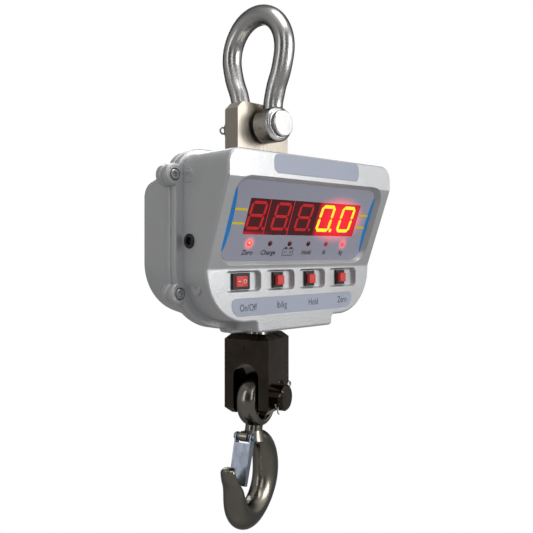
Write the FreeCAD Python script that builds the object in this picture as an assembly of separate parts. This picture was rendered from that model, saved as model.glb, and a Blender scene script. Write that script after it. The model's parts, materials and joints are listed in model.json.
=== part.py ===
import FreeCAD, Part
import math
import os

# Hanging crane scale, millimetres.
# Origin: the point inside the shackle bow where a crane hook bears. The load line is the Z axis,
# +Z is up, the display faces -Y and the shackle pin lies along Y.

V = FreeCAD.Vector
X_AXIS = V(1, 0, 0)
Y_AXIS = V(0, 1, 0)
Z_AXIS = V(0, 0, 1)

# ---------------------------------------------------------------- driving dimensions

# Casing outline, seen from the front
CASE_HALF = 123.5
CASE_TOP = -157.5
CASE_BOTTOM = -325.2
CASE_TOP_R = 16.0
CASE_BOTTOM_R = 52.0
TAB_HALF = 57.0            # tab under the front casing, around the load line
TAB_BOTTOM = -336.8
TAB_R = 4.0

# Casing outline, seen from the side
STRIP_Y = -94.0            # vertical nameplate strip above the display
FACET_TOP_Z = -184.5       # crease between the strip and the sloped display
FACET_LOW_Z = -271.0       # crease between the display and the switch panel
PANEL_Y = -61.8            # vertical switch panel
SEAM_Y = -17.4             # parting plane of the two casings
BACK_Y = 48.2
WALL = 3.5
GASKET = 0.8
FRONT_EDGE_R = 2.4
CREASE_TOP_R = 4.0
CREASE_LOW_R = 6.0

# Bolted flange around the parting plane
FLANGE_HALF = 133.0
FLANGE_TOP = -151.6
FLANGE_BOTTOM = -334.0
FLANGE_TOP_R = 32.0
FLANGE_BOTTOM_R = 63.5
FLANGE_DEPTH = 8.5         # of each half
FLANGE_TAB_HALF = 62.0
FLANGE_TAB_SLOPE = 7.0
FLANGE_TAB_BOTTOM = -340.2
FLANGE_EDGE_R = 1.8
LOBES = [(133.2, -179.4, 11.3), (127.0, -295.7, 10.8)]
CAST_PADS = [(-34.0, -180.1, 123.9), (-42.7, -289.3, 121.3)]
PAD_R = 7.3
PAD_DIMPLE_R = 3.2

# Rear casing
REAR_HALF = 120.8
REAR_TOP_R = 40.0
REAR_BACK_TOP = -177.5
REAR_BACK_TOP_R = 20.0
REAR_BACK_BOTTOM = -321.5
REAR_BACK_BOTTOM_R = 56.5
REAR_STEP_Y = 17.0         # the walls draw in behind this plane
REAR_TAB_Y = 24.0          # back of the tab round the shaft
REAR_EDGE_R = 4.5
TOP_NOTCH_HALF = 43.0      # openings for the eye plate and for the shaft
TOP_NOTCH_Y = 15.0
BOTTOM_NOTCH_HALF = 18.0

# Casing screws, M6 socket head
SCREW_R = 3.0
HEAD_R = 5.0
HEAD_H = 6.0
HEX_FLATS = 5.0
COUNTERBORE_R = 6.0
COUNTERBORE_DEPTH = 5.5
SCREW_CLEAR = 0.3

# Display and labels
FILM_HALF = 107.0
FILM_TOP = 3.3             # distances down the sloped face from its top crease
FILM_LOW = 86.5
FILM_R = 15.0
FILM_DEPTH = 5.6
FILM_DRAFT = 2.2
FILM_SIDE_DRAFT = 4.0
FILM_TOP_DRAFT = 5.9
FILM_THICK = 0.5
WINDOW_HALF = 84.2
WINDOW_TOP = 21.2
WINDOW_LOW = 58.5
WINDOW_THICK = 2.5
DIGITS = 5
DIGIT_DEPTH = 9.0
DIGIT_GAP = 0.5
LED_S = 67.7
LED_X = [-72.1, -43.2, -14.6, 14.0, 42.8, 71.4]
LED_R = 2.5
LED_LENGTH = 8.0
BOARD_GAP = 0.6
BOARD_THICK = 1.6
BOARD_HALF = 92.0
BOARD_S = (8.0, 80.0)
POST_R = 4.0
POST_POINTS = [(x, s) for x in (-86.0, 86.0) for s in (13.0, 75.0)]
LABEL_THICK = 0.4
LABEL_SINK = 0.3
NAMEPLATE_HALF = 65.0
NAMEPLATE_Z = (-178.0, -159.3)
LABEL_HALF = 91.7
LABEL_Z = (-318.8, -301.1)

# Switches
POCKET_X = [-76.0, -24.4, 24.4, 76.0]
POCKET_HALF = [23.7, 21.1, 21.1, 23.7]
POCKET_Z = (-294.5, -273.4)
POCKET_DEPTH = 5.6
POCKET_DRAFT = 1.7
POCKET_R = 5.0
BUTTON_NODES = ["unit_button", "hold_button", "zero_button"]
BEZEL_PROUD = 2.6
ROCKER_BEZEL = (23.4, 16.2)
ROCKER_SIZE = (17.6, 10.4)
ROCKER_TILT = 7.0          # degrees from level, with the On side pressed
BUTTON_BEZEL = (15.0, 16.2)
BUTTON_CAP = 10.0
BUTTON_PROUD = 4.0
SLIDE_GAP = 0.15

# Charging socket, in the left wall
SOCKET_Y = -36.3
SOCKET_Z = -244.2
SOCKET_R = 6.0

# Main board and battery, on posts of the rear casing
POST_Y = 30.0
MAIN_BOARD_X = (-108.0, -50.0)
MAIN_BOARD_Z = (-290.0, -200.0)
MAIN_BOARD_POSTS = [(x, z) for x in (-104.0, -54.0) for z in (-286.0, -204.0)]
BATTERY_X = (41.0, 111.0)
BATTERY_Y = (-20.0, 27.0)
BATTERY_Z = (-291.0, -190.0)
BRACKET_X = (66.0, 86.0)
BRACKET_SHEET = 1.5
BRACKET_POSTS = [(76.0, z) for z in (-301.0, -178.0)]
RIBBON_X = (-98.0, -80.0)
RIBBON_THICK = 0.6
RIBBON_Z = -225.0

# Load cell
EYE_HALF_X = 38.5
EYE_HALF_Y = 10.6
EYE_TOP = -90.5
EYE_CHAMFER = 7.5
CELL_HALF_Y = 20.0
CELL_TOP = -177.0
CELL_BOTTOM = -318.0
CHAMBER_HALF = 24.0        # window that holds the bearing and the nut
CHAMBER_Z = (-302.0, -258.0)
CUT_WIDTH = 4.0            # S-shaped strain cuts
CUT_Z = (-196.0, -244.0)
CUT_REACH = 22.0
CELL_SCREW_X = 24.0
CELL_SCREW_Z = -184.5

# Shackle
SHACKLE_PIN_Z = -115.0
SHACKLE_PIN_R = 11.0
EAR_R = 19.5
EAR_Y = (14.1, 38.3)
EAR_EDGE_R = 5.0
BOW_R = 43.2               # centreline of the bow
BOW_ROD_R = 11.4           # at the crown
LEG_ROD_R = 10.9
LEG_POINTS = [(25.9, -115.0), (25.9, -100.0), (27.0, -86.0), (30.2, -75.0), (34.2, -65.5), (38.3, -55.5),
              (41.6, -43.5)]
PIN_HEAD_R = 14.6
PIN_HEAD_H = 5.2
PIN_TAIL = 6.0
COTTER_R = 1.5
COTTER_Y = 4.0             # from the end of the shackle pin to its split pin

# Swivel and block
SHAFT_R = 12.5
SHAFT_TOP = -262.0
SHAFT_BOTTOM = -371.0
BLOCK_HALF = 27.25
BLOCK_TOP = -345.3
BLOCK_BOTTOM = -433.7
BLOCK_CHAMFER = 6.5
BLOCK_EDGE = 1.0
BLOCK_ANGLE = 19.5         # degrees the block is turned on the load line at rest
SLOT_HALF = 15.5
SLOT_CROWN = -377.7
HOOK_PIN_Z = -416.6
HOOK_PIN_R = 14.5
HOOK_PIN_HEAD_R = 16.8
HOOK_PIN_HEAD_H = 5.0
HOOK_PIN_TAIL = 10.5
LOCK_PIN_R = 3.0
LOCK_PIN_Z = -360.0
RUNNING = 0.06             # radial clearance of a pin in its hole

# Thrust bearing 25 x 42 x 11 and M24 castle nut
RACE_R = 21.0
RACE_H = 3.2
BEARING_H = 11.0
BALL_R = 2.9
BALL_COUNT = 12
NUT_FLATS = 36.0
NUT_H = 22.0
NUT_Z = CHAMBER_Z[0] + BEARING_H
SHAFT_COTTER_Z = NUT_Z + NUT_H - 3.2
SHAFT_COTTER_R = 1.0
NUT_SLOT_HALF = 3.2

# Hook, in its own plane: u towards the opening, w up from the hook pin
HOOK_TILT = 12.5           # degrees the free hook leans, hanging by its own weight
BOWL_DROP = 93.0
RING_BAR = (6.2, 12.0)     # half height and half width of the eye's bar
RING_HOLE_R = 18.6
NECK_R = 9.8
NECK_W = (-26.0, -39.0, -50.0)     # top, start of the flare and foot of the neck
NECK_FOOT_R = 14.0
# polar angle from the neck round the back (degrees), inner radius, outer radius, half thickness
HOOK_STATIONS = [
    (2, 38.0, 55.0, 9.5),
    (26, 32.0, 59.0, 12.0),
    (50, 26.0, 60.8, 13.4),
    (77, 23.0, 59.0, 14.0),
    (100, 22.5, 55.0, 13.8),
    (125, 22.5, 50.5, 13.6),
    (150, 22.5, 49.5, 13.5),
    (175, 22.5, 51.0, 13.4),
    (200, 22.5, 51.0, 13.0),
    (220, 22.5, 49.0, 12.6),
    (238, 23.0, 45.5, 12.2),
    (254, 25.5, 43.0, 11.8),
    (267, 32.0, 46.0, 10.8),
    (276, 39.5, 51.5, 9.8),
    (282, 45.0, 55.8, 8.8),
    (286, 46.2, 54.8, 7.4),
    (288.2, 48.6, 52.6, 3.4),
]
LATCH_PIVOT = (19.7, -45.5)
LATCH_END = (23.2, -96.4)
LATCH_PIN_R = 2.5
LATCH_HALF = 10.0
LATCH_SHEET = 1.5
LATCH_FACE = 4.5           # from the pivot out to the latch's face
LATCH_LUG_HALF = 4.5
LATCH_WIRE = 0.6


# ---------------------------------------------------------------- helpers

def box(x_range, y_range, z_range):
    corner = V(min(x_range), min(y_range), min(z_range))
    size = [max(r) - min(r) for r in (x_range, y_range, z_range)]
    return Part.makeBox(size[0], size[1], size[2], corner)


def block_at(centre, half_x, half_z, y_range):
    """Block centred on a point in X and Z, between two depths."""
    return box((centre.x - half_x, centre.x + half_x), y_range, (centre.z - half_z, centre.z + half_z))


def rod(radius, start, end):
    """Round bar between two points."""
    return Part.makeCylinder(radius, (end - start).Length, start, end - start)


def tube(outer, inner, start, end):
    return rod(outer, start, end).cut(rod(inner, start, end))



def turned(shape, angle, centre=V(0, 0, 0), axis=Z_AXIS):
    copy = shape.copy()
    copy.rotate(centre, axis, angle)
    return copy


def rounded_wire(corners, place):
    """Closed wire through corners (u, v, radius); place(u, v) gives the point in space."""
    edges = []
    ends = []
    for i, (u, v, radius) in enumerate(corners):
        here = V(u, v, 0)
        before = (V(*corners[i - 1][:2], 0) - here).normalize()
        after = (V(*corners[(i + 1) % len(corners)][:2], 0) - here).normalize()
        half = before.getAngle(after) / 2
        middle = (before + after).normalize()
        reach = radius / math.tan(half)
        start = here + before * reach
        end = here + after * reach
        crown = here + middle * (radius / math.sin(half) - radius)
        ends.append((start, end))
        if radius > 0:
            points = [place(p.x, p.y) for p in (start, crown, end)]
            edges.append(Part.Arc(*points).toShape())
    lines = []
    for i, (start, end) in enumerate(ends):
        following = ends[(i + 1) % len(ends)][0]
        if (following - end).Length > 1e-6:
            lines.append(Part.makeLine(place(end.x, end.y), place(following.x, following.y)))
    return Part.Wire(Part.__sortEdges__(edges + lines))


def prism(corners, place, direction):
    return Part.Face(rounded_wire(corners, place)).extrude(direction)


def frontal(y):
    """Places (x, z) on the plane at this y."""
    return lambda x, z: V(x, y, z)


def rectangle(half, low, high, radius):
    return [(-half, low, radius), (half, low, radius), (half, high, radius), (-half, high, radius)]


def shifted(corners, x):
    return [(u + x, v, r) for u, v, r in corners]


def slab(corners, y_front, y_back):
    """Prism of a frontal outline between two planes."""
    return prism(corners, frontal(y_front), V(0, y_back - y_front, 0))


def tapered(front, y_front, back, y_back):
    """Solid between two frontal outlines that have the same kinds of corners."""
    wires = [rounded_wire(front, frontal(y_front)), rounded_wire(back, frontal(y_back))]
    return Part.makeLoft(wires, True, True)


def fuse(shapes):
    return shapes[0].multiFuse(shapes[1:]).removeSplitter()


def group(shapes):
    """Separate solids kept in one node."""
    return Part.makeCompound(shapes)


def hexagon(flats, start, height, axis=Z_AXIS):
    corners = []
    for i in range(6):
        angle = math.radians(60 * i)
        corners.append((flats / math.sqrt(3) * math.cos(angle), flats / math.sqrt(3) * math.sin(angle), 0))
    solid = prism(corners, lambda u, v: V(u, v, 0), V(0, 0, height))
    solid.Placement = FreeCAD.Placement(start, FreeCAD.Rotation(Z_AXIS, axis))
    return solid


def socket_screw(radius, head_r, head_h, flats, seat, length, direction):
    """Socket-head screw; seat is the middle of the head's bearing face, direction runs into the hole."""
    screw = rod(head_r, seat - direction * head_h, seat)
    edge = [e for e in screw.Edges if (e.CenterOfMass - (seat - direction * head_h)).Length < 1e-3]
    screw = screw.makeChamfer(head_h * 0.08, edge)
    screw = screw.fuse(rod(radius, seat, seat + direction * length))
    return screw.cut(hexagon(flats, seat - direction * head_h, head_h * 0.55, direction))


def pan_screw(radius, head_r, seat, length, direction):
    head = rod(head_r, seat - direction * head_r * 0.7, seat)
    return head.fuse(rod(radius, seat, seat + direction * length))


def swept(points, radius):
    """Round cable or wire along a smooth line through the points."""
    curve = Part.BSplineCurve()
    curve.interpolate(points)
    path = Part.Wire([curve.toShape()])
    profile = Part.Wire([Part.makeCircle(radius, points[0], curve.tangent(curve.FirstParameter)[0])])
    return path.makePipeShell([profile], True, True)


# ---------------------------------------------------------------- the sloped display face

FACET_RUN = V(0, PANEL_Y - STRIP_Y, FACET_LOW_Z - FACET_TOP_Z)
FACET_DOWN = V(FACET_RUN.x, FACET_RUN.y, FACET_RUN.z).normalize()
FACET_IN = X_AXIS.cross(FACET_DOWN).normalize()
if FACET_IN.y < 0:
    FACET_IN = FACET_IN * -1
FACET_CREASE = V(0, STRIP_Y, FACET_TOP_Z)
DIGIT_BACK = FILM_DEPTH + FILM_THICK + WINDOW_THICK + BOARD_GAP + DIGIT_DEPTH


def facet(depth):
    """Places (x, distance down the slope) at this depth below the sloped face."""
    return lambda x, s: FACET_CREASE + V(x, 0, 0) + FACET_DOWN * s + FACET_IN * depth


def facet_slab(half, top, low, radius, depth_front, depth_back, x=0.0):
    corners = shifted(rectangle(half, top, low, radius), x)
    return prism(corners, facet(depth_front), FACET_IN * (depth_back - depth_front))


# ---------------------------------------------------------------- casing outlines

def case_outline(inset):
    tab_half = TAB_HALF - inset
    tab_low = TAB_BOTTOM + inset
    low = CASE_BOTTOM + inset
    half = CASE_HALF - inset
    top = CASE_TOP - inset
    top_r = CASE_TOP_R - inset
    bottom_r = CASE_BOTTOM_R - inset
    return [
        (-half, top, top_r), (-half, low, bottom_r),
        (-tab_half - 1, low, TAB_R), (-tab_half, tab_low, TAB_R),
        (tab_half, tab_low, TAB_R), (tab_half + 1, low, TAB_R),
        (half, low, bottom_r), (half, top, top_r),
    ]


def side_profile(inset):
    """Outline of the front casing in the Y-Z plane, from the parting plane forwards."""
    lean = inset * math.tan(FACET_DOWN.getAngle(Z_AXIS * -1) / 2)
    back = SEAM_Y - GASKET / 2
    return [
        (back, CASE_TOP + 30, 0),
        (STRIP_Y + inset, CASE_TOP + 30, 0),
        (STRIP_Y + inset, FACET_TOP_Z + lean, CREASE_TOP_R),
        (PANEL_Y + inset, FACET_LOW_Z + lean, CREASE_LOW_R),
        (PANEL_Y + inset, TAB_BOTTOM - 30, 0),
        (back, TAB_BOTTOM - 30, 0),
    ]


def front_block(inset):
    outline = slab(case_outline(inset), STRIP_Y, SEAM_Y - GASKET / 2)
    width = CASE_HALF + 10
    side = prism(side_profile(inset), lambda y, z: V(-width, y, z), V(2 * width, 0, 0))
    return outline.common(side)


def flange_outlines(inset):
    """The rim's outline, and that of the tab below it."""
    half = FLANGE_HALF - inset
    top = FLANGE_TOP - inset
    low = FLANGE_BOTTOM + inset
    tab_half = FLANGE_TAB_HALF - inset
    tab_low = FLANGE_TAB_BOTTOM + inset
    rim = [(-half, top, FLANGE_TOP_R - inset), (-half, low, FLANGE_BOTTOM_R - inset),
           (half, low, FLANGE_BOTTOM_R - inset), (half, top, FLANGE_TOP_R - inset)]
    tab = [(-tab_half - FLANGE_TAB_SLOPE, low + 12, 2), (-tab_half, tab_low, 5),
           (tab_half, tab_low, 5), (tab_half + FLANGE_TAB_SLOPE, low + 12, 2)]
    return [rim, tab]


def lobe_points():
    return [(side * x, z, r) for x, z, r in LOBES for side in (-1, 1)]


def rounded_ends(solid, radius):
    """Rounds the two flat ends of a prism or disc that runs along Y."""
    edges = [e for e in solid.Edges if e.BoundBox.YLength < 1e-6]
    return solid.makeFillet(radius, edges)


def flange_half(y_outer, y_seam):
    """One half of the rim with its four screw lobes, its edges rounded."""
    shapes = [rounded_ends(slab(outline, y_outer, y_seam), FLANGE_EDGE_R) for outline in flange_outlines(0)]
    for x, z, r in lobe_points():
        shapes.append(rounded_ends(rod(r, V(x, y_outer, z), V(x, y_seam, z)), FLANGE_EDGE_R))
    return fuse(shapes)


def rear_outline(inset):
    """The rear casing where it meets the seam."""
    half = REAR_HALF - inset
    low = CASE_BOTTOM + inset
    top = CASE_TOP - inset
    return [(-half, top, REAR_TOP_R - inset), (-half, low, CASE_BOTTOM_R - inset),
            (half, low, CASE_BOTTOM_R - inset), (half, top, REAR_TOP_R - inset)]


def back_outline(inset):
    half = REAR_HALF - inset
    low = REAR_BACK_BOTTOM + inset
    top = REAR_BACK_TOP - inset
    return [(-half, top, REAR_BACK_TOP_R - inset), (-half, low, REAR_BACK_BOTTOM_R - inset),
            (half, low, REAR_BACK_BOTTOM_R - inset), (half, top, REAR_BACK_TOP_R - inset)]


def rear_block(inset):
    y_seam = SEAM_Y + GASKET / 2
    tab = rectangle(TAB_HALF - inset, TAB_BOTTOM + inset, CASE_BOTTOM + 20, TAB_R - inset)
    deep = slab(rear_outline(inset), y_seam, REAR_STEP_Y)
    draft = tapered(rear_outline(inset), REAR_STEP_Y, back_outline(inset), BACK_Y - inset)
    return fuse([deep, draft, slab(tab, y_seam, REAR_TAB_Y - inset)])


# ---------------------------------------------------------------- casings

def pockets(depth_extra, widen):
    """Drafted switch recesses, or the metal behind them when widened."""
    shapes = []
    for x, half in zip(POCKET_X, POCKET_HALF):
        mouth = rectangle(half + widen, POCKET_Z[0] - widen, POCKET_Z[1] + widen, POCKET_R + widen)
        floor = rectangle(half + widen - POCKET_DRAFT, POCKET_Z[0] - widen + POCKET_DRAFT,
                          POCKET_Z[1] + widen - POCKET_DRAFT, POCKET_R + widen - POCKET_DRAFT)
        shapes.append(tapered(shifted(mouth, x), PANEL_Y, shifted(floor, x),
                              PANEL_Y + POCKET_DEPTH + depth_extra))
    return shapes


def display_recess(widen, extra):
    mouth = rectangle(FILM_HALF + FILM_SIDE_DRAFT + widen, FILM_TOP - FILM_TOP_DRAFT - widen,
                      FILM_LOW + FILM_DRAFT + widen, FILM_R + FILM_SIDE_DRAFT + widen)
    floor = rectangle(FILM_HALF + widen, FILM_TOP - widen, FILM_LOW + widen, FILM_R + widen)
    wires = [rounded_wire(mouth, facet(0)), rounded_wire(floor, facet(FILM_DEPTH + extra))]
    return Part.makeLoft(wires, True, True)


def face_edges(body):
    """Edges round the front faces, leaving out the creases that run across them."""
    edges = []
    for edge in body.Edges:
        bounds = edge.BoundBox
        on_front = bounds.YMax < SEAM_Y - GASKET
        across = bounds.XLength > CASE_HALF and CASE_BOTTOM < bounds.ZMin and bounds.ZMax < CASE_TOP - 1
        if on_front and not across:
            edges.append(edge)
    return edges


def cast_pads():
    """Shallow round pads with a dimple, cast on both side walls."""
    pads = []
    for y, z, reach in CAST_PADS:
        for side in (-1, 1):
            face = V(side * reach, y, z)
            pad = rod(PAD_R, face, V(side * (CASE_HALF - WALL), y, z))
            pads.append(pad.cut(rod(PAD_DIMPLE_R, face, face - X_AXIS * side * 0.6)))
    return pads


def make_front_casing():
    body = front_block(0)
    body = body.makeFillet(FRONT_EDGE_R, face_edges(body))
    body = body.cut(front_block(WALL))
    body = fuse([body] + pockets(2.5, 2.5) + [display_recess(2.5, 2.5).common(front_block(0))])
    y_seam = SEAM_Y - GASKET / 2
    rim = flange_half(y_seam - FLANGE_DEPTH, y_seam)
    hollow = slab(case_outline(WALL), y_seam - FLANGE_DEPTH - 1, y_seam + 1)
    body = fuse([body, rim.cut(hollow)])
    posts = []
    for x, s in POST_POINTS:
        place = facet(FILM_DEPTH + 1.0)
        end = facet(DIGIT_BACK)
        posts.append(rod(POST_R, place(x, s), end(x, s)))
    body = fuse([body] + posts + cast_pads())
    return cut_front_details(body)


def cut_front_details(body):
    tools = pockets(0, 0) + [display_recess(0, 0)]
    tools.append(facet_slab(WINDOW_HALF, WINDOW_TOP, WINDOW_LOW, 1.0, 0, 30))
    place = facet(0)
    for x in LED_X:
        tools.append(rod(LED_R, place(x, LED_S), place(x, LED_S) + FACET_IN * 30))
    for x, s in POST_POINTS:
        start = facet(DIGIT_BACK - 8.0)(x, s)
        tools.append(rod(1.25, start, start + FACET_IN * 12))
    floor_y = PANEL_Y + POCKET_DEPTH
    tools.append(slab(shifted(rectangle(9.5, -6.5, 6.5, 0.5), 0), floor_y - 1, floor_y + 10)
                 .translated(V(POCKET_X[0], 0, switch_z())))
    for x in POCKET_X[1:]:
        tools.append(rod(6.0, V(x, floor_y - 1, switch_z()), V(x, floor_y + 10, switch_z())))
    tools.append(slab(rectangle(NAMEPLATE_HALF, *NAMEPLATE_Z, 6.5), STRIP_Y - 1, STRIP_Y + LABEL_SINK))
    tools.append(slab(label_corners(0), PANEL_Y - 1, PANEL_Y + LABEL_SINK))
    socket = V(-CASE_HALF, SOCKET_Y, SOCKET_Z)
    tools.append(rod(SOCKET_R, socket - X_AXIS, socket + X_AXIS * 10))
    y_face = SEAM_Y - GASKET / 2 - FLANGE_DEPTH
    for x, z, _ in lobe_points():
        tools.append(rod(SCREW_R + SCREW_CLEAR, V(x, y_face - 1, z), V(x, SEAM_Y + 1, z)))
        tools.append(rod(COUNTERBORE_R, V(x, y_face - 1, z), V(x, y_face + COUNTERBORE_DEPTH, z)))
    return body.cut(tools)


def switch_z():
    return (POCKET_Z[0] + POCKET_Z[1]) / 2


def label_corners(grow):
    low, high = LABEL_Z
    return [(-LABEL_HALF - grow, high + grow, 5.6), (-LABEL_HALF - grow, low - grow, 11.5),
            (LABEL_HALF + grow, low - grow, 11.5), (LABEL_HALF + grow, high + grow, 5.6)]


def notches(y_front):
    """Openings in the rear half for the eye plate above and the shaft below."""
    low = FLANGE_TAB_BOTTOM - 5
    high = CASE_BOTTOM + 2
    return [
        box((-TOP_NOTCH_HALF, TOP_NOTCH_HALF), (y_front, TOP_NOTCH_Y), (CASE_TOP - 12, FLANGE_TOP + 5)),
        box((-BOTTOM_NOTCH_HALF, BOTTOM_NOTCH_HALF), (y_front, 0), (low, high)),
        rod(BOTTOM_NOTCH_HALF, V(0, 0, low), V(0, 0, high)),
    ]


def rear_posts():
    """Posts and bosses that stand on the inside of the back wall."""
    y_root = BACK_Y - WALL + 0.5
    posts = [rod(8.0, V(x, CELL_HALF_Y, CELL_SCREW_Z), V(x, y_root, CELL_SCREW_Z))
             for x in (-CELL_SCREW_X, CELL_SCREW_X)]
    for x, z in MAIN_BOARD_POSTS + BRACKET_POSTS:
        posts.append(rod(POST_R, V(x, POST_Y, z), V(x, y_root, z)))
    return posts


def make_rear_casing():
    y_seam = SEAM_Y + GASKET / 2
    body = rear_block(0)
    back_edges = [e for e in body.Edges if e.BoundBox.YMin > BACK_Y - 1e-3]
    body = body.makeFillet(REAR_EDGE_R, back_edges)
    rim = flange_half(y_seam + FLANGE_DEPTH, y_seam)
    body = fuse([body, rim]).cut(rear_block(WALL))
    body = fuse([body] + rear_posts())
    tools = notches(y_seam - 1)
    for x, z, _ in lobe_points():
        tools.append(rod(SCREW_R, V(x, y_seam - 1, z), V(x, y_seam + FLANGE_DEPTH - 1.5, z)))
    for x in (-CELL_SCREW_X, CELL_SCREW_X):
        front = V(x, CELL_HALF_Y - 1, CELL_SCREW_Z)
        back = V(x, BACK_Y + 1, CELL_SCREW_Z)
        tools.append(rod(SCREW_R + SCREW_CLEAR, front, back))
        tools.append(rod(COUNTERBORE_R, V(x, BACK_Y - 6.5, CELL_SCREW_Z), back))
    for x, z in MAIN_BOARD_POSTS + BRACKET_POSTS:
        tools.append(rod(1.25, V(x, POST_Y - 1, z), V(x, POST_Y + 8, z)))
    return body.cut(tools)


def make_casing_gasket():
    y_front = SEAM_Y - GASKET / 2
    y_back = SEAM_Y + GASKET / 2
    rings = [slab(outline, y_front, y_back) for outline in flange_outlines(2.0)]
    pads = [rod(r - 2.0, V(x, y_front, z), V(x, y_back, z)) for x, z, r in lobe_points()]
    ring = fuse(rings + pads)
    tools = [slab(case_outline(WALL), y_front - 1, y_back + 1)]
    tools += notches(y_front - 1)
    for x, z, _ in lobe_points():
        tools.append(rod(SCREW_R + SCREW_CLEAR, V(x, y_front - 1, z), V(x, y_back + 1, z)))
    return ring.cut(tools)


def make_casing_screws():
    y_seat = SEAM_Y - GASKET / 2 - FLANGE_DEPTH + COUNTERBORE_DEPTH
    y_end = SEAM_Y + GASKET / 2 + FLANGE_DEPTH - 2.0
    screws = []
    for x, z, _ in lobe_points():
        screws.append(socket_screw(SCREW_R - 0.02, HEAD_R, HEAD_H, HEX_FLATS, V(x, y_seat, z),
                                   y_end - y_seat, Y_AXIS))
    return group(screws)


def make_load_cell_screws():
    y_seat = BACK_Y - 6.5
    screws = []
    for x in (-CELL_SCREW_X, CELL_SCREW_X):
        screws.append(socket_screw(SCREW_R - 0.02, HEAD_R, HEAD_H, HEX_FLATS, V(x, y_seat, CELL_SCREW_Z),
                                   y_seat - CELL_HALF_Y + 12.0, Y_AXIS * -1))
    return group(screws)


# ---------------------------------------------------------------- seals

def make_top_seal():
    y_front = SEAM_Y - GASKET / 2
    neck = box((-TOP_NOTCH_HALF, TOP_NOTCH_HALF), (y_front, TOP_NOTCH_Y), (CASE_TOP - 4.5, CASE_TOP))
    lip = box((-TOP_NOTCH_HALF, TOP_NOTCH_HALF), (y_front, TOP_NOTCH_Y), (CASE_TOP, CASE_TOP + 5.0))
    seal = fuse([neck, lip])
    eye = box((-EYE_HALF_X - 0.05, EYE_HALF_X + 0.05), (-EYE_HALF_Y - 0.05, EYE_HALF_Y + 0.05),
              (CASE_TOP - 10, CASE_TOP + 10))
    upper = [e for e in seal.Edges if e.BoundBox.ZMin > CASE_TOP + 4.9]
    return seal.makeChamfer(1.2, upper).cut(eye)


def make_bottom_seal():
    y_front = SEAM_Y - GASKET / 2
    low = FLANGE_TAB_BOTTOM - 0.8
    high = CASE_BOTTOM - 3.0
    ring = rod(BOTTOM_NOTCH_HALF, V(0, 0, low), V(0, 0, high))
    ring = ring.fuse(box((-BOTTOM_NOTCH_HALF, BOTTOM_NOTCH_HALF), (y_front, 0), (low, high)))
    hole = rod(SHAFT_R + 0.1, V(0, 0, low - 1), V(0, 0, high + 1))
    return ring.removeSplitter().cut([hole, make_front_casing()])


# ---------------------------------------------------------------- display and labels

def make_display_film():
    back = FILM_DEPTH - FILM_THICK
    film = facet_slab(FILM_HALF - 0.2, FILM_TOP + 0.2, FILM_LOW - 0.2, FILM_R, back, FILM_DEPTH)
    place = facet(0)
    tools = [facet_slab(WINDOW_HALF, WINDOW_TOP, WINDOW_LOW, 1.0, 0, 30)]
    tools += [rod(LED_R, place(x, LED_S), place(x, LED_S) + FACET_IN * 30) for x in LED_X]
    return film.cut(tools)


def make_display_window():
    return facet_slab(WINDOW_HALF - 0.05, WINDOW_TOP + 0.05, WINDOW_LOW - 0.05, 0.95,
                      FILM_DEPTH - FILM_THICK, FILM_DEPTH - FILM_THICK + WINDOW_THICK)


def make_digit_modules():
    pitch = 2 * WINDOW_HALF / DIGITS
    front = FILM_DEPTH - FILM_THICK + WINDOW_THICK + BOARD_GAP
    modules = []
    for i in range(DIGITS):
        x = (i - (DIGITS - 1) / 2) * pitch
        modules.append(facet_slab((pitch - DIGIT_GAP) / 2, WINDOW_TOP + 0.3, WINDOW_LOW - 0.3, 0.4,
                                  front, DIGIT_BACK, x))
    return group(modules)


def make_indicator_leds():
    leds = []
    for x in LED_X:
        front = facet(FILM_DEPTH - FILM_THICK)(x, LED_S)
        body = rod(LED_R - 0.05, front, front + FACET_IN * LED_LENGTH)
        flange_start = facet(FILM_DEPTH + 2.6)(x, LED_S)
        base = rod(LED_R + 0.4, flange_start, flange_start + FACET_IN * 1.0)
        legs = rod(1.6, flange_start, facet(DIGIT_BACK)(x, LED_S))
        leds.append(fuse([body, base, legs]))
    return group(leds)


def make_display_board():
    board = facet_slab(BOARD_HALF, BOARD_S[0], BOARD_S[1], 2.0, DIGIT_BACK, DIGIT_BACK + BOARD_THICK)
    chip = facet_slab(9.0, 30.0, 42.0, 0.3, DIGIT_BACK + BOARD_THICK, DIGIT_BACK + BOARD_THICK + 2.4, -40.0)
    board = board.fuse(chip)
    tools = []
    for x, s in POST_POINTS:
        start = facet(DIGIT_BACK - 1)(x, s)
        tools.append(rod(1.7, start, start + FACET_IN * 5))
    return board.cut(tools)


def make_display_board_screws():
    screws = []
    for x, s in POST_POINTS:
        seat = facet(DIGIT_BACK + BOARD_THICK)(x, s)
        screws.append(pan_screw(1.24, 2.8, seat, 7.0, FACET_IN * -1))
    return group(screws)


def make_top_nameplate():
    y_back = STRIP_Y + LABEL_SINK
    return slab(rectangle(NAMEPLATE_HALF - 0.2, NAMEPLATE_Z[0] + 0.2, NAMEPLATE_Z[1] - 0.2, 6.3),
                y_back - LABEL_THICK, y_back)


def make_switch_label():
    y_back = PANEL_Y + LABEL_SINK
    return slab(label_corners(-0.2), y_back - LABEL_THICK, y_back)


# ---------------------------------------------------------------- switches

def rocker_frame():
    """Middle of the rocker's bezel face."""
    return V(POCKET_X[0], PANEL_Y + POCKET_DEPTH - BEZEL_PROUD, switch_z())


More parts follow.
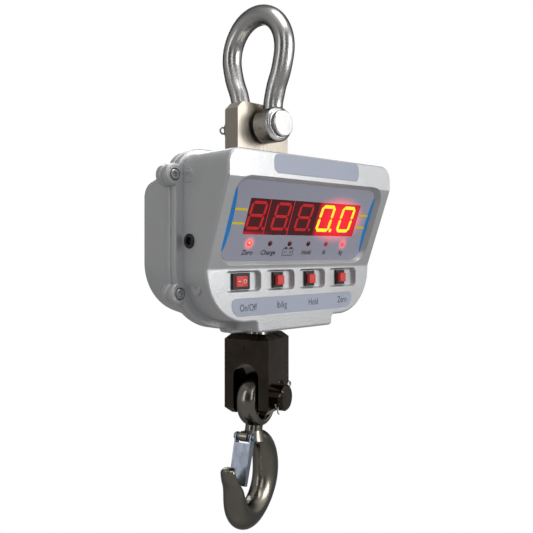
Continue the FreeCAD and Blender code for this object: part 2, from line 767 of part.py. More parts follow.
def make_rocker_body():
    face = rocker_frame()
    width, height = ROCKER_BEZEL
    floor_y = PANEL_Y + POCKET_DEPTH
    bezel = block_at(face, width / 2, height / 2, (face.y, floor_y))
    front = [e for e in bezel.Edges if e.BoundBox.YMax < face.y + 1e-3]
    bezel = bezel.makeChamfer(0.8, front)
    body = block_at(face, 9.4, 6.4, (floor_y, floor_y + 14))
    terminals = [block_at(face + X_AXIS * dx, 0.4, 3.0, (floor_y + 14, floor_y + 21)) for dx in (-5.0, 5.0)]
    shape = fuse([bezel, body] + terminals)
    half_w = ROCKER_SIZE[0] / 2 + SLIDE_GAP
    half_h = ROCKER_SIZE[1] / 2 + SLIDE_GAP
    shape = shape.cut(block_at(face, half_w, half_h, (face.y - 1, face.y + 11.5)))
    pivot = rocker_pivot()
    socket = rod(1.5 + RUNNING, pivot - Z_AXIS * 6.0, pivot + Z_AXIS * 6.0)
    return shape.cut([socket, make_front_casing()])


def rocker_pivot():
    return rocker_frame() + V(0, 5.0, 0)


def make_power_rocker():
    face = rocker_frame()
    pivot = rocker_pivot()
    half_w = ROCKER_SIZE[0] / 2
    half_h = ROCKER_SIZE[1] / 2
    level = Part.makeCylinder(9.6, 2 * half_h, pivot - Z_AXIS * half_h, Z_AXIS)
    level = level.common(block_at(face, half_w - 0.5, half_h, (face.y - 3.0, face.y + 6.5)))
    dish = Part.makeCylinder(30.0, 40.0, V(face.x, face.y - 31.2, face.z - 20.0), Z_AXIS)
    key = level.cut(dish)
    key = key.fuse(rod(1.5, pivot - Z_AXIS * 5.9, pivot + Z_AXIS * 5.9)).removeSplitter()
    return turned(key, -ROCKER_TILT, pivot)


def button_frame(i):
    """Middle of a push button's bezel face."""
    return V(POCKET_X[i + 1], PANEL_Y + POCKET_DEPTH - BEZEL_PROUD, switch_z())


def make_button_bodies():
    bodies = []
    width, height = BUTTON_BEZEL
    floor_y = PANEL_Y + POCKET_DEPTH
    for i in range(len(BUTTON_NODES)):
        face = button_frame(i)
        bezel = block_at(face, width / 2, height / 2, (face.y, floor_y))
        front = [e for e in bezel.Edges if e.BoundBox.YMax < face.y + 1e-3]
        bezel = bezel.makeChamfer(0.8, front)
        barrel = rod(5.95, V(face.x, floor_y, face.z), V(face.x, floor_y + 16, face.z))
        nut = tube(8.5, 5.95, V(face.x, floor_y + 2.5, face.z), V(face.x, floor_y + 5.0, face.z))
        pins = [block_at(face + X_AXIS * dx, 0.4, 1.5, (floor_y + 16, floor_y + 21)) for dx in (-3.0, 3.0)]
        body = fuse([bezel, barrel, nut] + pins)
        half = BUTTON_CAP / 2 + SLIDE_GAP
        well = block_at(face, half, half, (face.y - 1, face.y + 2.6))
        bore = rod(3.0 + RUNNING, V(face.x, face.y, face.z), V(face.x, floor_y + 12, face.z))
        bodies.append(body.cut([well, bore]))
    return group(bodies)


def make_button(i):
    face = button_frame(i)
    half = BUTTON_CAP / 2
    cap = block_at(face, half, half, (face.y - BUTTON_PROUD, face.y))
    front = [e for e in cap.Edges if e.BoundBox.YMax < face.y - BUTTON_PROUD + 1e-3]
    cap = cap.makeFillet(0.7, front)
    stem = rod(3.0, face, V(face.x, face.y + 9.0, face.z))
    return fuse([cap, stem])


# ---------------------------------------------------------------- charging socket

def make_dc_socket():
    wall = V(-CASE_HALF, SOCKET_Y, SOCKET_Z)
    ring = rod(7.3, wall - X_AXIS * 1.6, wall)
    outer = [e for e in ring.Edges if e.BoundBox.XMax < wall.x - 1.59]
    ring = ring.makeFillet(0.6, outer)
    barrel = rod(SOCKET_R - 0.05, wall, wall + X_AXIS * 16.0)
    foot = wall + X_AXIS * 18.5
    tabs = [block_at(foot, 2.5, 1.5, (wall.y + dy - 0.4, wall.y + dy + 0.4)) for dy in (-3.0, 3.0)]
    body = fuse([ring, barrel] + tabs)
    body = body.cut(rod(4.1, wall - X_AXIS * 2, wall + X_AXIS * 11.0))
    pin = rod(1.05, wall + X_AXIS * 0.5, wall + X_AXIS * 11.5)
    return body.fuse(pin).removeSplitter()


def make_dc_socket_nut():
    start = V(-CASE_HALF + WALL, SOCKET_Y, SOCKET_Z)
    nut = hexagon(16.0, start, 3.0, X_AXIS)
    return nut.cut(rod(SOCKET_R - 0.05, start - X_AXIS, start + X_AXIS * 4))


# ---------------------------------------------------------------- electronics and battery

def make_main_board():
    board = box(MAIN_BOARD_X, (POST_Y - BOARD_THICK, POST_Y), MAIN_BOARD_Z)
    face = POST_Y - BOARD_THICK
    parts = [
        box((-92.0, -74.0), (face - 2.6, face), (-250.0, -232.0)),
        box((-96.0, -86.0), (face - 9.0, face), (-278.0, -260.0)),
        box((-68.0, -58.0), (face - 8.0, face), (-226.0, -212.0)),
        rod(5.0, V(-64.0, face - 14.0, -262.0), V(-64.0, face, -262.0)),
        rod(4.0, V(-78.0, face - 11.0, -268.0), V(-78.0, face, -268.0)),
    ]
    board = fuse([board] + parts)
    holes = [rod(1.7, V(x, face - 1, z), V(x, POST_Y + 1, z)) for x, z in MAIN_BOARD_POSTS]
    return board.cut(holes)


def make_main_board_screws():
    seat_y = POST_Y - BOARD_THICK
    return group([pan_screw(1.24, 2.8, V(x, seat_y, z), 7.0, Y_AXIS) for x, z in MAIN_BOARD_POSTS])


def make_battery():
    case = box(BATTERY_X, BATTERY_Y, BATTERY_Z)
    case = case.makeFillet(1.5, [e for e in case.Edges if e.BoundBox.ZLength > 50])
    lid = box((BATTERY_X[0] + 2, BATTERY_X[1] - 2), (BATTERY_Y[0] + 2, BATTERY_Y[1] - 2),
              (BATTERY_Z[1], BATTERY_Z[1] + 2))
    y = BATTERY_Y[0] + 9
    tabs = [box((x - 0.4, x + 0.4), (y - 3, y + 3), (BATTERY_Z[1] + 2, BATTERY_Z[1] + 8))
            for x in (BATTERY_X[0] + 10, BATTERY_X[1] - 10)]
    return fuse([case, lid] + tabs)


def make_battery_bracket():
    """Steel strap bent over the battery from top to bottom, with a foot at each end."""
    t = BRACKET_SHEET
    y_front = BATTERY_Y[0] - 0.2
    low = BATTERY_Z[0] - 0.2
    high = BATTERY_Z[1] + 2.2
    plates = [
        box(BRACKET_X, (y_front - t, y_front), (low - t, high + t)),
        box(BRACKET_X, (y_front, POST_Y), (high, high + t)),
        box(BRACKET_X, (y_front, POST_Y), (low - t, low)),
    ]
    for x, z in BRACKET_POSTS:
        way = 1 if z > high else -1
        root = high if way > 0 else low
        plates.append(box(BRACKET_X, (POST_Y - t, POST_Y), (root, z + way * 6)))
    holes = [rod(1.7, V(x, POST_Y - t - 1, z), V(x, POST_Y + 1, z)) for x, z in BRACKET_POSTS]
    return fuse(plates).cut(holes)


def make_bracket_screws():
    seat_y = POST_Y - BRACKET_SHEET
    return group([pan_screw(1.24, 2.8, V(x, seat_y, z), 7.0, Y_AXIS) for x, z in BRACKET_POSTS])


# ---------------------------------------------------------------- load cell and its bearing

def make_load_cell():
    """One billet: eye plate above, strain body inside the casing, bearing chamber below."""
    plate = box((-EYE_HALF_X, EYE_HALF_X), (-EYE_HALF_Y, EYE_HALF_Y), (CELL_TOP - 1, EYE_TOP))
    shoulders = [e for e in plate.Edges
                 if e.BoundBox.ZMin > EYE_TOP - 1e-3 and e.BoundBox.XLength < 1e-3]
    plate = plate.makeChamfer(EYE_CHAMFER, shoulders)
    body = box((-EYE_HALF_X, EYE_HALF_X), (-CELL_HALF_Y, CELL_HALF_Y), (CELL_BOTTOM, CELL_TOP))
    cell = fuse([plate, body])
    deep = (-CELL_HALF_Y - 1, CELL_HALF_Y + 1)
    middle = (CUT_Z[0] + CUT_Z[1]) / 2
    eye = V(0, 0, SHACKLE_PIN_Z)
    tools = [
        rod(SHACKLE_PIN_R + RUNNING, eye - Y_AXIS * (EYE_HALF_Y + 1), eye + Y_AXIS * (EYE_HALF_Y + 1)),
        box((-EYE_HALF_X - 1, CUT_REACH), deep, (CUT_Z[0] - CUT_WIDTH / 2, CUT_Z[0] + CUT_WIDTH / 2)),
        box((-CUT_REACH, EYE_HALF_X + 1), deep, (CUT_Z[1] - CUT_WIDTH / 2, CUT_Z[1] + CUT_WIDTH / 2)),
        rod(CUT_WIDTH, V(CUT_REACH, deep[0], CUT_Z[0]), V(CUT_REACH, deep[1], CUT_Z[0])),
        rod(CUT_WIDTH, V(-CUT_REACH, deep[0], CUT_Z[1]), V(-CUT_REACH, deep[1], CUT_Z[1])),
        rod(7.0, V(-8.0, deep[0], middle), V(-8.0, deep[1], middle)),
        rod(7.0, V(8.0, deep[0], middle), V(8.0, deep[1], middle)),
        box((-8.0, 8.0), deep, (middle - 2.0, middle + 2.0)),
        box((-CHAMBER_HALF, CHAMBER_HALF), deep, CHAMBER_Z),
        rod(SHAFT_R + RUNNING, V(0, 0, CELL_BOTTOM - 1), V(0, 0, CHAMBER_Z[0] + 1)),
    ]
    for x in (-CELL_SCREW_X, CELL_SCREW_X):
        mouth = V(x, CELL_HALF_Y, CELL_SCREW_Z)
        tools.append(rod(SCREW_R, mouth - Y_AXIS * 14.0, mouth + Y_AXIS))
    return cell.cut(tools)


def race(bottom, bore):
    ring = tube(RACE_R, bore, V(0, 0, bottom), V(0, 0, bottom + RACE_H))
    middle = CHAMBER_Z[0] + BEARING_H / 2
    groove = Part.makeTorus((RACE_R + SHAFT_R) / 2, BALL_R + 0.02, V(0, 0, middle))
    return ring.cut(groove)


def make_bearing_lower_race():
    return race(CHAMBER_Z[0], SHAFT_R + 0.3)


def make_bearing_upper_race():
    return race(CHAMBER_Z[0] + BEARING_H - RACE_H, SHAFT_R + 0.02)


def make_bearing_balls():
    middle = CHAMBER_Z[0] + BEARING_H / 2
    radius = (RACE_R + SHAFT_R) / 2
    balls = []
    for i in range(BALL_COUNT):
        angle = 2 * math.pi * i / BALL_COUNT
        balls.append(Part.makeSphere(BALL_R, V(radius * math.cos(angle), radius * math.sin(angle), middle)))
    return group(balls)


def make_shaft_nut():
    """Castle nut with six slots for the split pin."""
    nut = hexagon(NUT_FLATS, V(0, 0, NUT_Z), NUT_H)
    bevel = Part.makeCone(NUT_FLATS / 2 + 12, NUT_FLATS / 2 - 1.5, NUT_H + 10, V(0, 0, NUT_Z - 10), Z_AXIS)
    nut = nut.common(bevel)
    tools = [rod(SHAFT_R + 0.01, V(0, 0, NUT_Z - 1), V(0, 0, NUT_Z + NUT_H + 1))]
    for angle in (0, 60, 120):
        heights = (NUT_Z + NUT_H - 6.0, NUT_Z + NUT_H + 1)
        slot = box((-NUT_FLATS, NUT_FLATS), (-NUT_SLOT_HALF, NUT_SLOT_HALF), heights)
        tools.append(turned(slot, angle))
    return nut.cut(tools)


def make_shaft_cotter():
    return cotter(V(0, 0, SHAFT_COTTER_Z), X_AXIS, Y_AXIS, NUT_FLATS / 2 + 0.5, SHAFT_COTTER_R)


def make_swivel_shaft():
    shaft = rod(SHAFT_R, V(0, 0, SHAFT_BOTTOM), V(0, 0, SHAFT_TOP))
    ends = [e for e in shaft.Edges if e.BoundBox.ZLength < 1e-6]
    shaft = shaft.makeChamfer(1.2, ends)
    cross = V(0, 0, SHAFT_COTTER_Z)
    tools = [rod(SHAFT_COTTER_R + 0.05, cross - X_AXIS * (SHAFT_R + 1), cross + X_AXIS * (SHAFT_R + 1))]
    middle = V(0, 0, LOCK_PIN_Z)
    bore = rod(LOCK_PIN_R + 0.01, middle - X_AXIS * (SHAFT_R + 1), middle + X_AXIS * (SHAFT_R + 1))
    tools.append(turned(bore, BLOCK_ANGLE))
    return shaft.cut(tools)


# ---------------------------------------------------------------- split pins

def cotter(centre, along, side, half, radius):
    """Split pin through a bar: loop head at one end, two legs bent apart at the other."""
    eye_r = radius * 2.4
    wire = radius * 0.48
    start = centre - along * half
    shank = rod(radius, start, centre + along * half)
    head = Part.makeTorus(eye_r, radius * 0.72, start - along * eye_r * 0.9, along.cross(side))
    tip = centre + along * half
    legs = []
    for way in (-1, 1):
        away = side * way
        bend = [
            tip - along * radius + away * (radius - wire),
            tip + along * 1.0 + away * radius * 1.2,
            tip + along * 2.2 + away * radius * 3.2,
            tip + along * 1.0 + away * radius * 5.0,
        ]
        legs.append(swept(bend, wire))
    return fuse([shank, head] + legs)


# ---------------------------------------------------------------- shackle

def bow_path():
    """Centreline of the whole bow and its bar radius, up one leg, round the crown and down the other."""
    centre_z = BOW_ROD_R - BOW_R
    grow = (BOW_ROD_R - LEG_ROD_R) / (len(LEG_POINTS) + 1)
    leg = [(V(0, -y, z), LEG_ROD_R + grow * i) for i, (y, z) in enumerate(LEG_POINTS)]
    crown = []
    for angle in range(0, 181, 20):
        a = math.radians(angle)
        crown.append((V(0, -BOW_R * math.cos(a), centre_z + BOW_R * math.sin(a)), BOW_ROD_R))
    far_leg = [(V(0, -point.y, point.z), radius) for point, radius in reversed(leg)]
    return leg + crown + far_leg


def bow_bar():
    path = bow_path()
    rings = []
    for i, (point, radius) in enumerate(path):
        before = path[max(i - 1, 0)][0]
        after = path[min(i + 1, len(path) - 1)][0]
        along = after - before
        ring = Part.Wire([Part.makeCircle(radius)])
        ring.rotate(V(0, 0, 0), X_AXIS, math.degrees(math.atan2(-along.y, along.z)))
        ring.translate(point)
        rings.append(ring)
    return Part.makeLoft(rings, True, False)


def shackle_ear(side):
    ear = rod(EAR_R, V(0, side * EAR_Y[0], SHACKLE_PIN_Z), V(0, side * EAR_Y[1], SHACKLE_PIN_Z))
    outer = [e for e in ear.Edges if e.BoundBox.YLength < 1e-6 and abs(e.CenterOfMass.y) > EAR_Y[1] - 1]
    return ear.makeFillet(EAR_EDGE_R, outer)


def make_shackle_bow():
    bow = fuse([bow_bar(), shackle_ear(-1), shackle_ear(1)])
    gap = box((-60, 60), (-EAR_Y[0], EAR_Y[0]), (SHACKLE_PIN_Z - 30, SHACKLE_PIN_Z + 30))
    hole = rod(SHACKLE_PIN_R + 0.1, V(0, -60, SHACKLE_PIN_Z), V(0, 60, SHACKLE_PIN_Z))
    return bow.cut([gap, hole])


def make_shackle_pin():
    head_face = -EAR_Y[1] - PIN_HEAD_H
    head = rod(PIN_HEAD_R, V(0, head_face, SHACKLE_PIN_Z), V(0, -EAR_Y[1], SHACKLE_PIN_Z))
    rim = [e for e in head.Edges if e.BoundBox.YMax < head_face + 1e-3]
    head = head.makeChamfer(1.2, rim)
    end = V(0, EAR_Y[1] + PIN_TAIL, SHACKLE_PIN_Z)
    shank = rod(SHACKLE_PIN_R, V(0, -EAR_Y[1], SHACKLE_PIN_Z), end)
    tail = [e for e in shank.Edges if e.BoundBox.YMin > end.y - 1e-3]
    shank = shank.makeChamfer(1.2, tail)
    hole = rod(COTTER_R + 0.05, V(-SHACKLE_PIN_R - 1, shackle_cotter_y(), SHACKLE_PIN_Z),
               V(SHACKLE_PIN_R + 1, shackle_cotter_y(), SHACKLE_PIN_Z))
    return fuse([head, shank]).cut(hole)


def shackle_cotter_y():
    return EAR_Y[1] + PIN_TAIL - COTTER_Y


def make_shackle_cotter():
    return cotter(V(0, shackle_cotter_y(), SHACKLE_PIN_Z), X_AXIS, Z_AXIS, SHACKLE_PIN_R + 2.5, COTTER_R)


# ---------------------------------------------------------------- hook block
# The block, its pins and the hook are drawn square to the axes, with the hook pin along Y and the
# hook's opening towards -X, and then turned together to their rest angle.

def at_rest(shape):
    return turned(shape, BLOCK_ANGLE)


def make_hook_block():
    half = BLOCK_HALF
    block = box((-half, half), (-half, half), (BLOCK_BOTTOM, BLOCK_TOP))
    ends = [e for e in block.Edges if e.BoundBox.ZLength < 1e-6]
    block = block.makeChamfer(BLOCK_CHAMFER, ends)
    uprights = [e for e in block.Edges if e.BoundBox.ZLength > 50]
    block = block.makeChamfer(BLOCK_EDGE, uprights)
    crown_z = SLOT_CROWN - SLOT_HALF
    tools = [
        rod(SLOT_HALF, V(-40, 0, crown_z), V(40, 0, crown_z)),
        box((-40, 40), (-SLOT_HALF, SLOT_HALF), (BLOCK_BOTTOM - 1, crown_z)),
        rod(SHAFT_R + 0.02, V(0, 0, SHAFT_BOTTOM - 1), V(0, 0, BLOCK_TOP + 1)),
        rod(HOOK_PIN_R + 0.02, V(0, -40, HOOK_PIN_Z), V(0, 40, HOOK_PIN_Z)),
        rod(LOCK_PIN_R + 0.01, V(-40, 0, LOCK_PIN_Z), V(40, 0, LOCK_PIN_Z)),
    ]
    return at_rest(block.cut(tools))


def make_shaft_lock_pin():
    reach = BLOCK_HALF - 0.5
    return at_rest(rod(LOCK_PIN_R, V(-reach, 0, LOCK_PIN_Z), V(reach, 0, LOCK_PIN_Z)))


def make_hook_pin():
    shoulder = V(0, BLOCK_HALF, HOOK_PIN_Z)
    head = rod(HOOK_PIN_HEAD_R, shoulder, shoulder + Y_AXIS * HOOK_PIN_HEAD_H)
    rim = [e for e in head.Edges if e.BoundBox.YMin > BLOCK_HALF + HOOK_PIN_HEAD_H - 1e-3]
    head = head.makeChamfer(1.2, rim)
    end = -BLOCK_HALF - HOOK_PIN_TAIL
    shank = rod(HOOK_PIN_R, V(0, end, HOOK_PIN_Z), V(0, BLOCK_HALF, HOOK_PIN_Z))
    tail = [e for e in shank.Edges if e.BoundBox.YMax < end + 1e-3]
    shank = shank.makeChamfer(1.8, tail)
    start, direction = hook_cotter_line()
    hole = rod(COTTER_R + 0.05, start - direction * 20, start + direction * 20)
    return at_rest(fuse([head, shank]).cut(hole))


def hook_cotter_line():
    """Middle and direction of the split pin in the hook pin's tail, before the block is turned."""
    angle = math.radians(35)
    return V(0, -BLOCK_HALF - 5.0, HOOK_PIN_Z), V(math.cos(angle), 0, math.sin(angle))


def make_hook_cotter():
    middle, direction = hook_cotter_line()
    side = direction.cross(Y_AXIS).normalize()
    return at_rest(cotter(middle, direction * -1, side, HOOK_PIN_R + 2.0, COTTER_R))


# ---------------------------------------------------------------- hook and latch

def hook_point(u, w, y=0.0):
    """A point of the hook's plane, measured from the hook pin."""
    return V(-u, y, HOOK_PIN_Z + w)


def lean(shape):
    """Turns the upright hook about its pin to its rest lean, then turns it with the block."""
    return at_rest(turned(shape, HOOK_TILT, V(0, 0, HOOK_PIN_Z), Y_AXIS))


def section(centre, across, half_long, half_wide):
    """Elliptic section that starts at across, in the hook's plane; its width runs along the pin."""
    if half_long >= half_wide:
        ellipse = Part.Ellipse(centre + across * half_long, centre + Y_AXIS * half_wide, centre)
        return Part.Wire([ellipse.toShape()])
    ellipse = Part.Ellipse(centre + Y_AXIS * half_wide, centre - across * half_long, centre)
    return Part.Wire([ellipse.toShape(1.5 * math.pi, 3.5 * math.pi)])


def bowl_point(radius, angle):
    """A point of the hook's plane, in polar terms about the bowl's centre."""
    a = math.radians(angle)
    return hook_point(0, -BOWL_DROP) + V(math.sin(a), 0, math.cos(a)) * radius


def hook_sections():
    sections = []
    for angle, inner, outer, half in reversed(HOOK_STATIONS):
        a = math.radians(angle)
        out = V(math.sin(a), 0, math.cos(a))
        sections.append(section(bowl_point((inner + outer) / 2, angle), out, (outer - inner) / 2, half))
    return sections


def eye_ring():
    """Ring of oval bar whose hole bears on the hook pin at its top."""
    half_height, half_width = RING_BAR
    drop = RING_HOLE_R - HOOK_PIN_R - RUNNING
    middle = V(0, 0, HOOK_PIN_Z - drop)
    centre = middle + X_AXIS * (RING_HOLE_R + half_height)
    ellipse = Part.Ellipse(centre + Y_AXIS * half_width, centre - X_AXIS * half_height, centre)
    halves = [ellipse.toShape(start, start + math.pi) for start in (0, math.pi)]
    return Part.Face(Part.Wire(halves)).revolve(middle, Y_AXIS, 360)


def hook_neck():
    top, waist, foot = NECK_W
    bar = rod(NECK_R, hook_point(0, waist), hook_point(0, top))
    flare = Part.makeCone(NECK_FOOT_R, NECK_R, waist - foot, hook_point(0, foot), Z_AXIS)
    return bar.fuse(flare)


def make_hook():
    body = Part.makeLoft(hook_sections(), True, False, False, 3)
    pivot = hook_point(*LATCH_PIVOT)
    lug = rod(5.5, pivot - Y_AXIS * LATCH_LUG_HALF, pivot + Y_AXIS * LATCH_LUG_HALF)
    web = box((pivot.x, -4.0), (-LATCH_LUG_HALF, LATCH_LUG_HALF), (pivot.z - 5.0, pivot.z + 5.5))
    hook = eye_ring()
    for shape in (hook_neck(), body, fuse([lug, web])):
        hook = hook.fuse(shape)
    return lean(hook.cut(rod(LATCH_PIN_R, pivot - Y_AXIS * 20, pivot + Y_AXIS * 20)))


def make_latch():
    """Folded sheet latch: a web facing outwards, with a cheek each side that carries the pin."""
    pivot = V(*LATCH_PIVOT, 0)
    end = V(*LATCH_END, 0)
    down = (end - pivot).normalize()
    out = V(-down.y, down.x, 0)
    if out.x < 0:
        out = out * -1
    length = (end - pivot).Length

    def place(along, off):
        p = pivot + down * along + out * off
        return hook_point(p.x, p.y, 0)

    t = LATCH_SHEET
    half = LATCH_HALF
    face = LATCH_FACE
    web = [(7.0, face - t, 0), (length, face - t, 0), (length, face, 0), (7.0, face, 0)]
    cheek = [(-4.5, -4.5, 3.0), (-4.5, face, 3.0), (length, face, 0), (length, -1.0, 0), (12.0, -4.5, 6.0)]
    shapes = [prism(web, place, V(0, 2 * half, 0)).translated(V(0, -half, 0))]
    for y in (-half, half - t):
        shapes.append(prism(cheek, place, V(0, t, 0)).translated(V(0, y, 0)))
    latch = fuse(shapes)
    centre = place(0, 0)
    return lean(latch.cut(rod(LATCH_PIN_R + RUNNING, centre - Y_AXIS * 20, centre + Y_AXIS * 20)))


def make_latch_pin():
    pivot = hook_point(*LATCH_PIVOT)
    half = LATCH_HALF + 0.4
    pin = rod(LATCH_PIN_R, pivot - Y_AXIS * (half + 1.8), pivot + Y_AXIS * (half + 1.8))
    heads = [rod(LATCH_PIN_R + 1.0, pivot + Y_AXIS * way * half, pivot + Y_AXIS * way * (half + 1.8))
             for way in (-1, 1)]
    return lean(fuse([pin] + heads))


def make_latch_spring():
    """Torsion spring wound round the latch pin in two halves, one each side of the lug."""
    pivot = hook_point(*LATCH_PIVOT)
    radius = LATCH_PIN_R + LATCH_WIRE + 0.3
    pitch = 2 * LATCH_WIRE + 0.05
    turns = 2.0
    halves = []
    for way in (-1, 1):
        path = Part.makeHelix(pitch, pitch * turns, radius)
        profile = Part.Wire([Part.makeCircle(LATCH_WIRE, V(radius, 0, 0), Y_AXIS)])
        coil = Part.Wire(path.Edges).makePipeShell([profile], True, True)
        coil.rotate(V(0, 0, 0), X_AXIS, -90 * way)
        coil.translate(pivot + Y_AXIS * way * (LATCH_LUG_HALF + LATCH_WIRE + 0.1))
        halves.append(coil)
    return lean(group(halves))


# ---------------------------------------------------------------- cables

def make_load_cell_cable():
    points = [V(-EYE_HALF_X, 0, -220), V(-44, 4, -222), V(-50, 16, -228), V(-56, 22, -236)]
    return swept(points, 2.2).cut(make_load_cell())


def make_battery_leads():
    """Two wires from the battery's tabs, over the load cell, to the main board."""
    y = BATTERY_Y[0] + 9
    z = BATTERY_Z[1] + 8
    x_near = BATTERY_X[0] + 10
    x_far = BATTERY_X[1] - 10
    near = [V(x_near, y, z), V(x_near - 5, y - 1, -175), V(28, -14.5, -169), V(0, -15, -168),
            V(-30, -14.5, -169), V(-48, -8, -177), V(-58, 12, -200), V(-60.5, 24, -212)]
    far = [V(x_far, y, z), V(x_far - 7, y - 2, -175), V(62, -17, -169), V(28, -18.5, -168),
           V(0, -19, -167), V(-30, -18.5, -168), V(-52, -11, -175), V(-63, 12, -198), V(-65, 24, -212)]
    ends = [make_battery(), make_main_board()]
    return group([swept(path, 1.2).cut(ends) for path in (near, far)])


def make_charging_leads():
    leads = []
    for way in (-1, 1):
        x = -91.0 + 2.5 * way
        y = SOCKET_Y + 3.0 * way
        path = [V(-CASE_HALF + 21.0, y, SOCKET_Z), V(-96, y + 1, SOCKET_Z - 1), V(x, -18, -247),
                V(x, 8, -250), V(x, 21, -255), V(x, 23.9, -260)]
        leads.append(swept(path, 1.0).cut([make_dc_socket(), make_main_board()]))
    return group(leads)


def make_display_ribbon():
    """Flat cable from the display board back to the main board."""
    start = facet(DIGIT_BACK + BOARD_THICK)(0, 60.0)
    t = RIBBON_THICK
    back = POST_Y - BOARD_THICK
    corners = [(start.y, start.z, 0), (start.y + 14, RIBBON_Z, 3), (back, RIBBON_Z, 0),
               (back, RIBBON_Z + t, 0), (start.y + 14, RIBBON_Z + t, 3 + t), (start.y, start.z + 2 * t, 0)]
    width = V(RIBBON_X[1] - RIBBON_X[0], 0, 0)
    return prism(corners, lambda y, z: V(RIBBON_X[0], y, z), width)


# ---------------------------------------------------------------- run

PARTS = {
    "front_casing": make_front_casing,
    "rear_casing": make_rear_casing,
    "casing_gasket": make_casing_gasket,
    "casing_screws": make_casing_screws,
    "load_cell_screws": make_load_cell_screws,
    "top_seal": make_top_seal,
    "bottom_seal": make_bottom_seal,
    "display_film": make_display_film,
    "display_window": make_display_window,
    "digit_modules": make_digit_modules,
    "indicator_leds": make_indicator_leds,
    "display_board": make_display_board,
    "display_board_screws": make_display_board_screws,
    "top_nameplate": make_top_nameplate,
    "switch_label": make_switch_label,
    "rocker_body": make_rocker_body,
    "power_rocker": make_power_rocker,
    "button_bodies": make_button_bodies,
    "dc_socket": make_dc_socket,
    "dc_socket_nut": make_dc_socket_nut,
    "main_board": make_main_board,
    "main_board_screws": make_main_board_screws,
    "battery": make_battery,
    "battery_bracket": make_battery_bracket,
    "bracket_screws": make_bracket_screws,
    "load_cell": make_load_cell,
    "bearing_lower_race": make_bearing_lower_race,
    "bearing_upper_race": make_bearing_upper_race,
    "bearing_balls": make_bearing_balls,
    "shaft_nut": make_shaft_nut,
    "shaft_cotter": make_shaft_cotter,
    "swivel_shaft": make_swivel_shaft,
    "shackle_bow": make_shackle_bow,
    "shackle_pin": make_shackle_pin,
    "shackle_cotter": make_shackle_cotter,
    "hook_block": make_hook_block,
    "shaft_lock_pin": make_shaft_lock_pin,
    "hook_pin": make_hook_pin,
    "hook_cotter": make_hook_cotter,
    "hook": make_hook,
    "latch": make_latch,
    "latch_pin": make_latch_pin,
    "latch_spring": make_latch_spring,
    "load_cell_cable": make_load_cell_cable,
    "battery_leads": make_battery_leads,
    "charging_leads": make_charging_leads,
    "display_ribbon": make_display_ribbon,
}


def export(name, shape):
    shape.exportStep(os.path.join("parts", name + ".step"))
    print(name, shape.isValid(), len(shape.Solids), round(shape.Volume))


os.makedirs("parts", exist_ok=True)
for name, make in PARTS.items():
    export(name, make())
for i, name in enumerate(BUTTON_NODES):
    export(name, make_button(i))
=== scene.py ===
import json
import math

import bmesh
import bpy
from mathutils import Matrix, Vector

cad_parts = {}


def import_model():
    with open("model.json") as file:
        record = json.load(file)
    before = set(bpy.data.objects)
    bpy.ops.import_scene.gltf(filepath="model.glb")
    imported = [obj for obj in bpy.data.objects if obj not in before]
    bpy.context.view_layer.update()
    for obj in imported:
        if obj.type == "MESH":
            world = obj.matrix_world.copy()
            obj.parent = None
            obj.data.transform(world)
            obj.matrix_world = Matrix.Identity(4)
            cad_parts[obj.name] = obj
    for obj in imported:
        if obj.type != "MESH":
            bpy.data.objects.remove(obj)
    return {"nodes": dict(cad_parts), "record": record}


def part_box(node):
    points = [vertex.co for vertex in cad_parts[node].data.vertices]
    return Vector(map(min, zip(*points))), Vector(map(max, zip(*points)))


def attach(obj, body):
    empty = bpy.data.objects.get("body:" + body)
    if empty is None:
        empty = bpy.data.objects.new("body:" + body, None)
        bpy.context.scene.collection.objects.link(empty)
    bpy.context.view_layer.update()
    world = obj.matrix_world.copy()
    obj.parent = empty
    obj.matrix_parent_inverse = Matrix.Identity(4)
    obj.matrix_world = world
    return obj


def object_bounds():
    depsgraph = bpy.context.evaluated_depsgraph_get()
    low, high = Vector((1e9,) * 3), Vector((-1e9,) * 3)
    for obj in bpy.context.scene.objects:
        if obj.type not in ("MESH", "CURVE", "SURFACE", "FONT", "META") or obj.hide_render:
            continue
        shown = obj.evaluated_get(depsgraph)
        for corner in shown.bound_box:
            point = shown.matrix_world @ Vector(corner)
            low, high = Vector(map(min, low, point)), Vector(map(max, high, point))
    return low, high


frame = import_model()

# The looks of a hanging crane scale, in metres, in the same frame as its solids.

NODES = frame["nodes"]
START_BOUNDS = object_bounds()
MM = 0.001
ROOT = "scale_body"

# Camera: at display height, to the left of the front
CAMERA_PLACE = (-0.5289, -0.5641, -0.2522)
CAMERA_TURN = math.radians(43.945)
CAMERA_LENS = 46.17
CAMERA_SHIFT_Y = -0.0322

# Directions that the display slope and the switch row look along, roughly
SLOPE_OUT = Vector((0, -0.94, -0.34))
FRONT_OUT = Vector((0, -1, 0))

# Layout of the display, in mm: x from the middle, s down the slope from the middle of the film
BAND_X = 106.7
BAND_S = (-36.0, 33.5)
BAND_WIDTH = 5.8
TICK_S = (-11.6, 2.6)
TICK_X = ((-104.2, -85.2), (85.2, 102.6))
TICK_WIDTH = 2.3
WINDOW_RISE = 18.6           # half the window's height

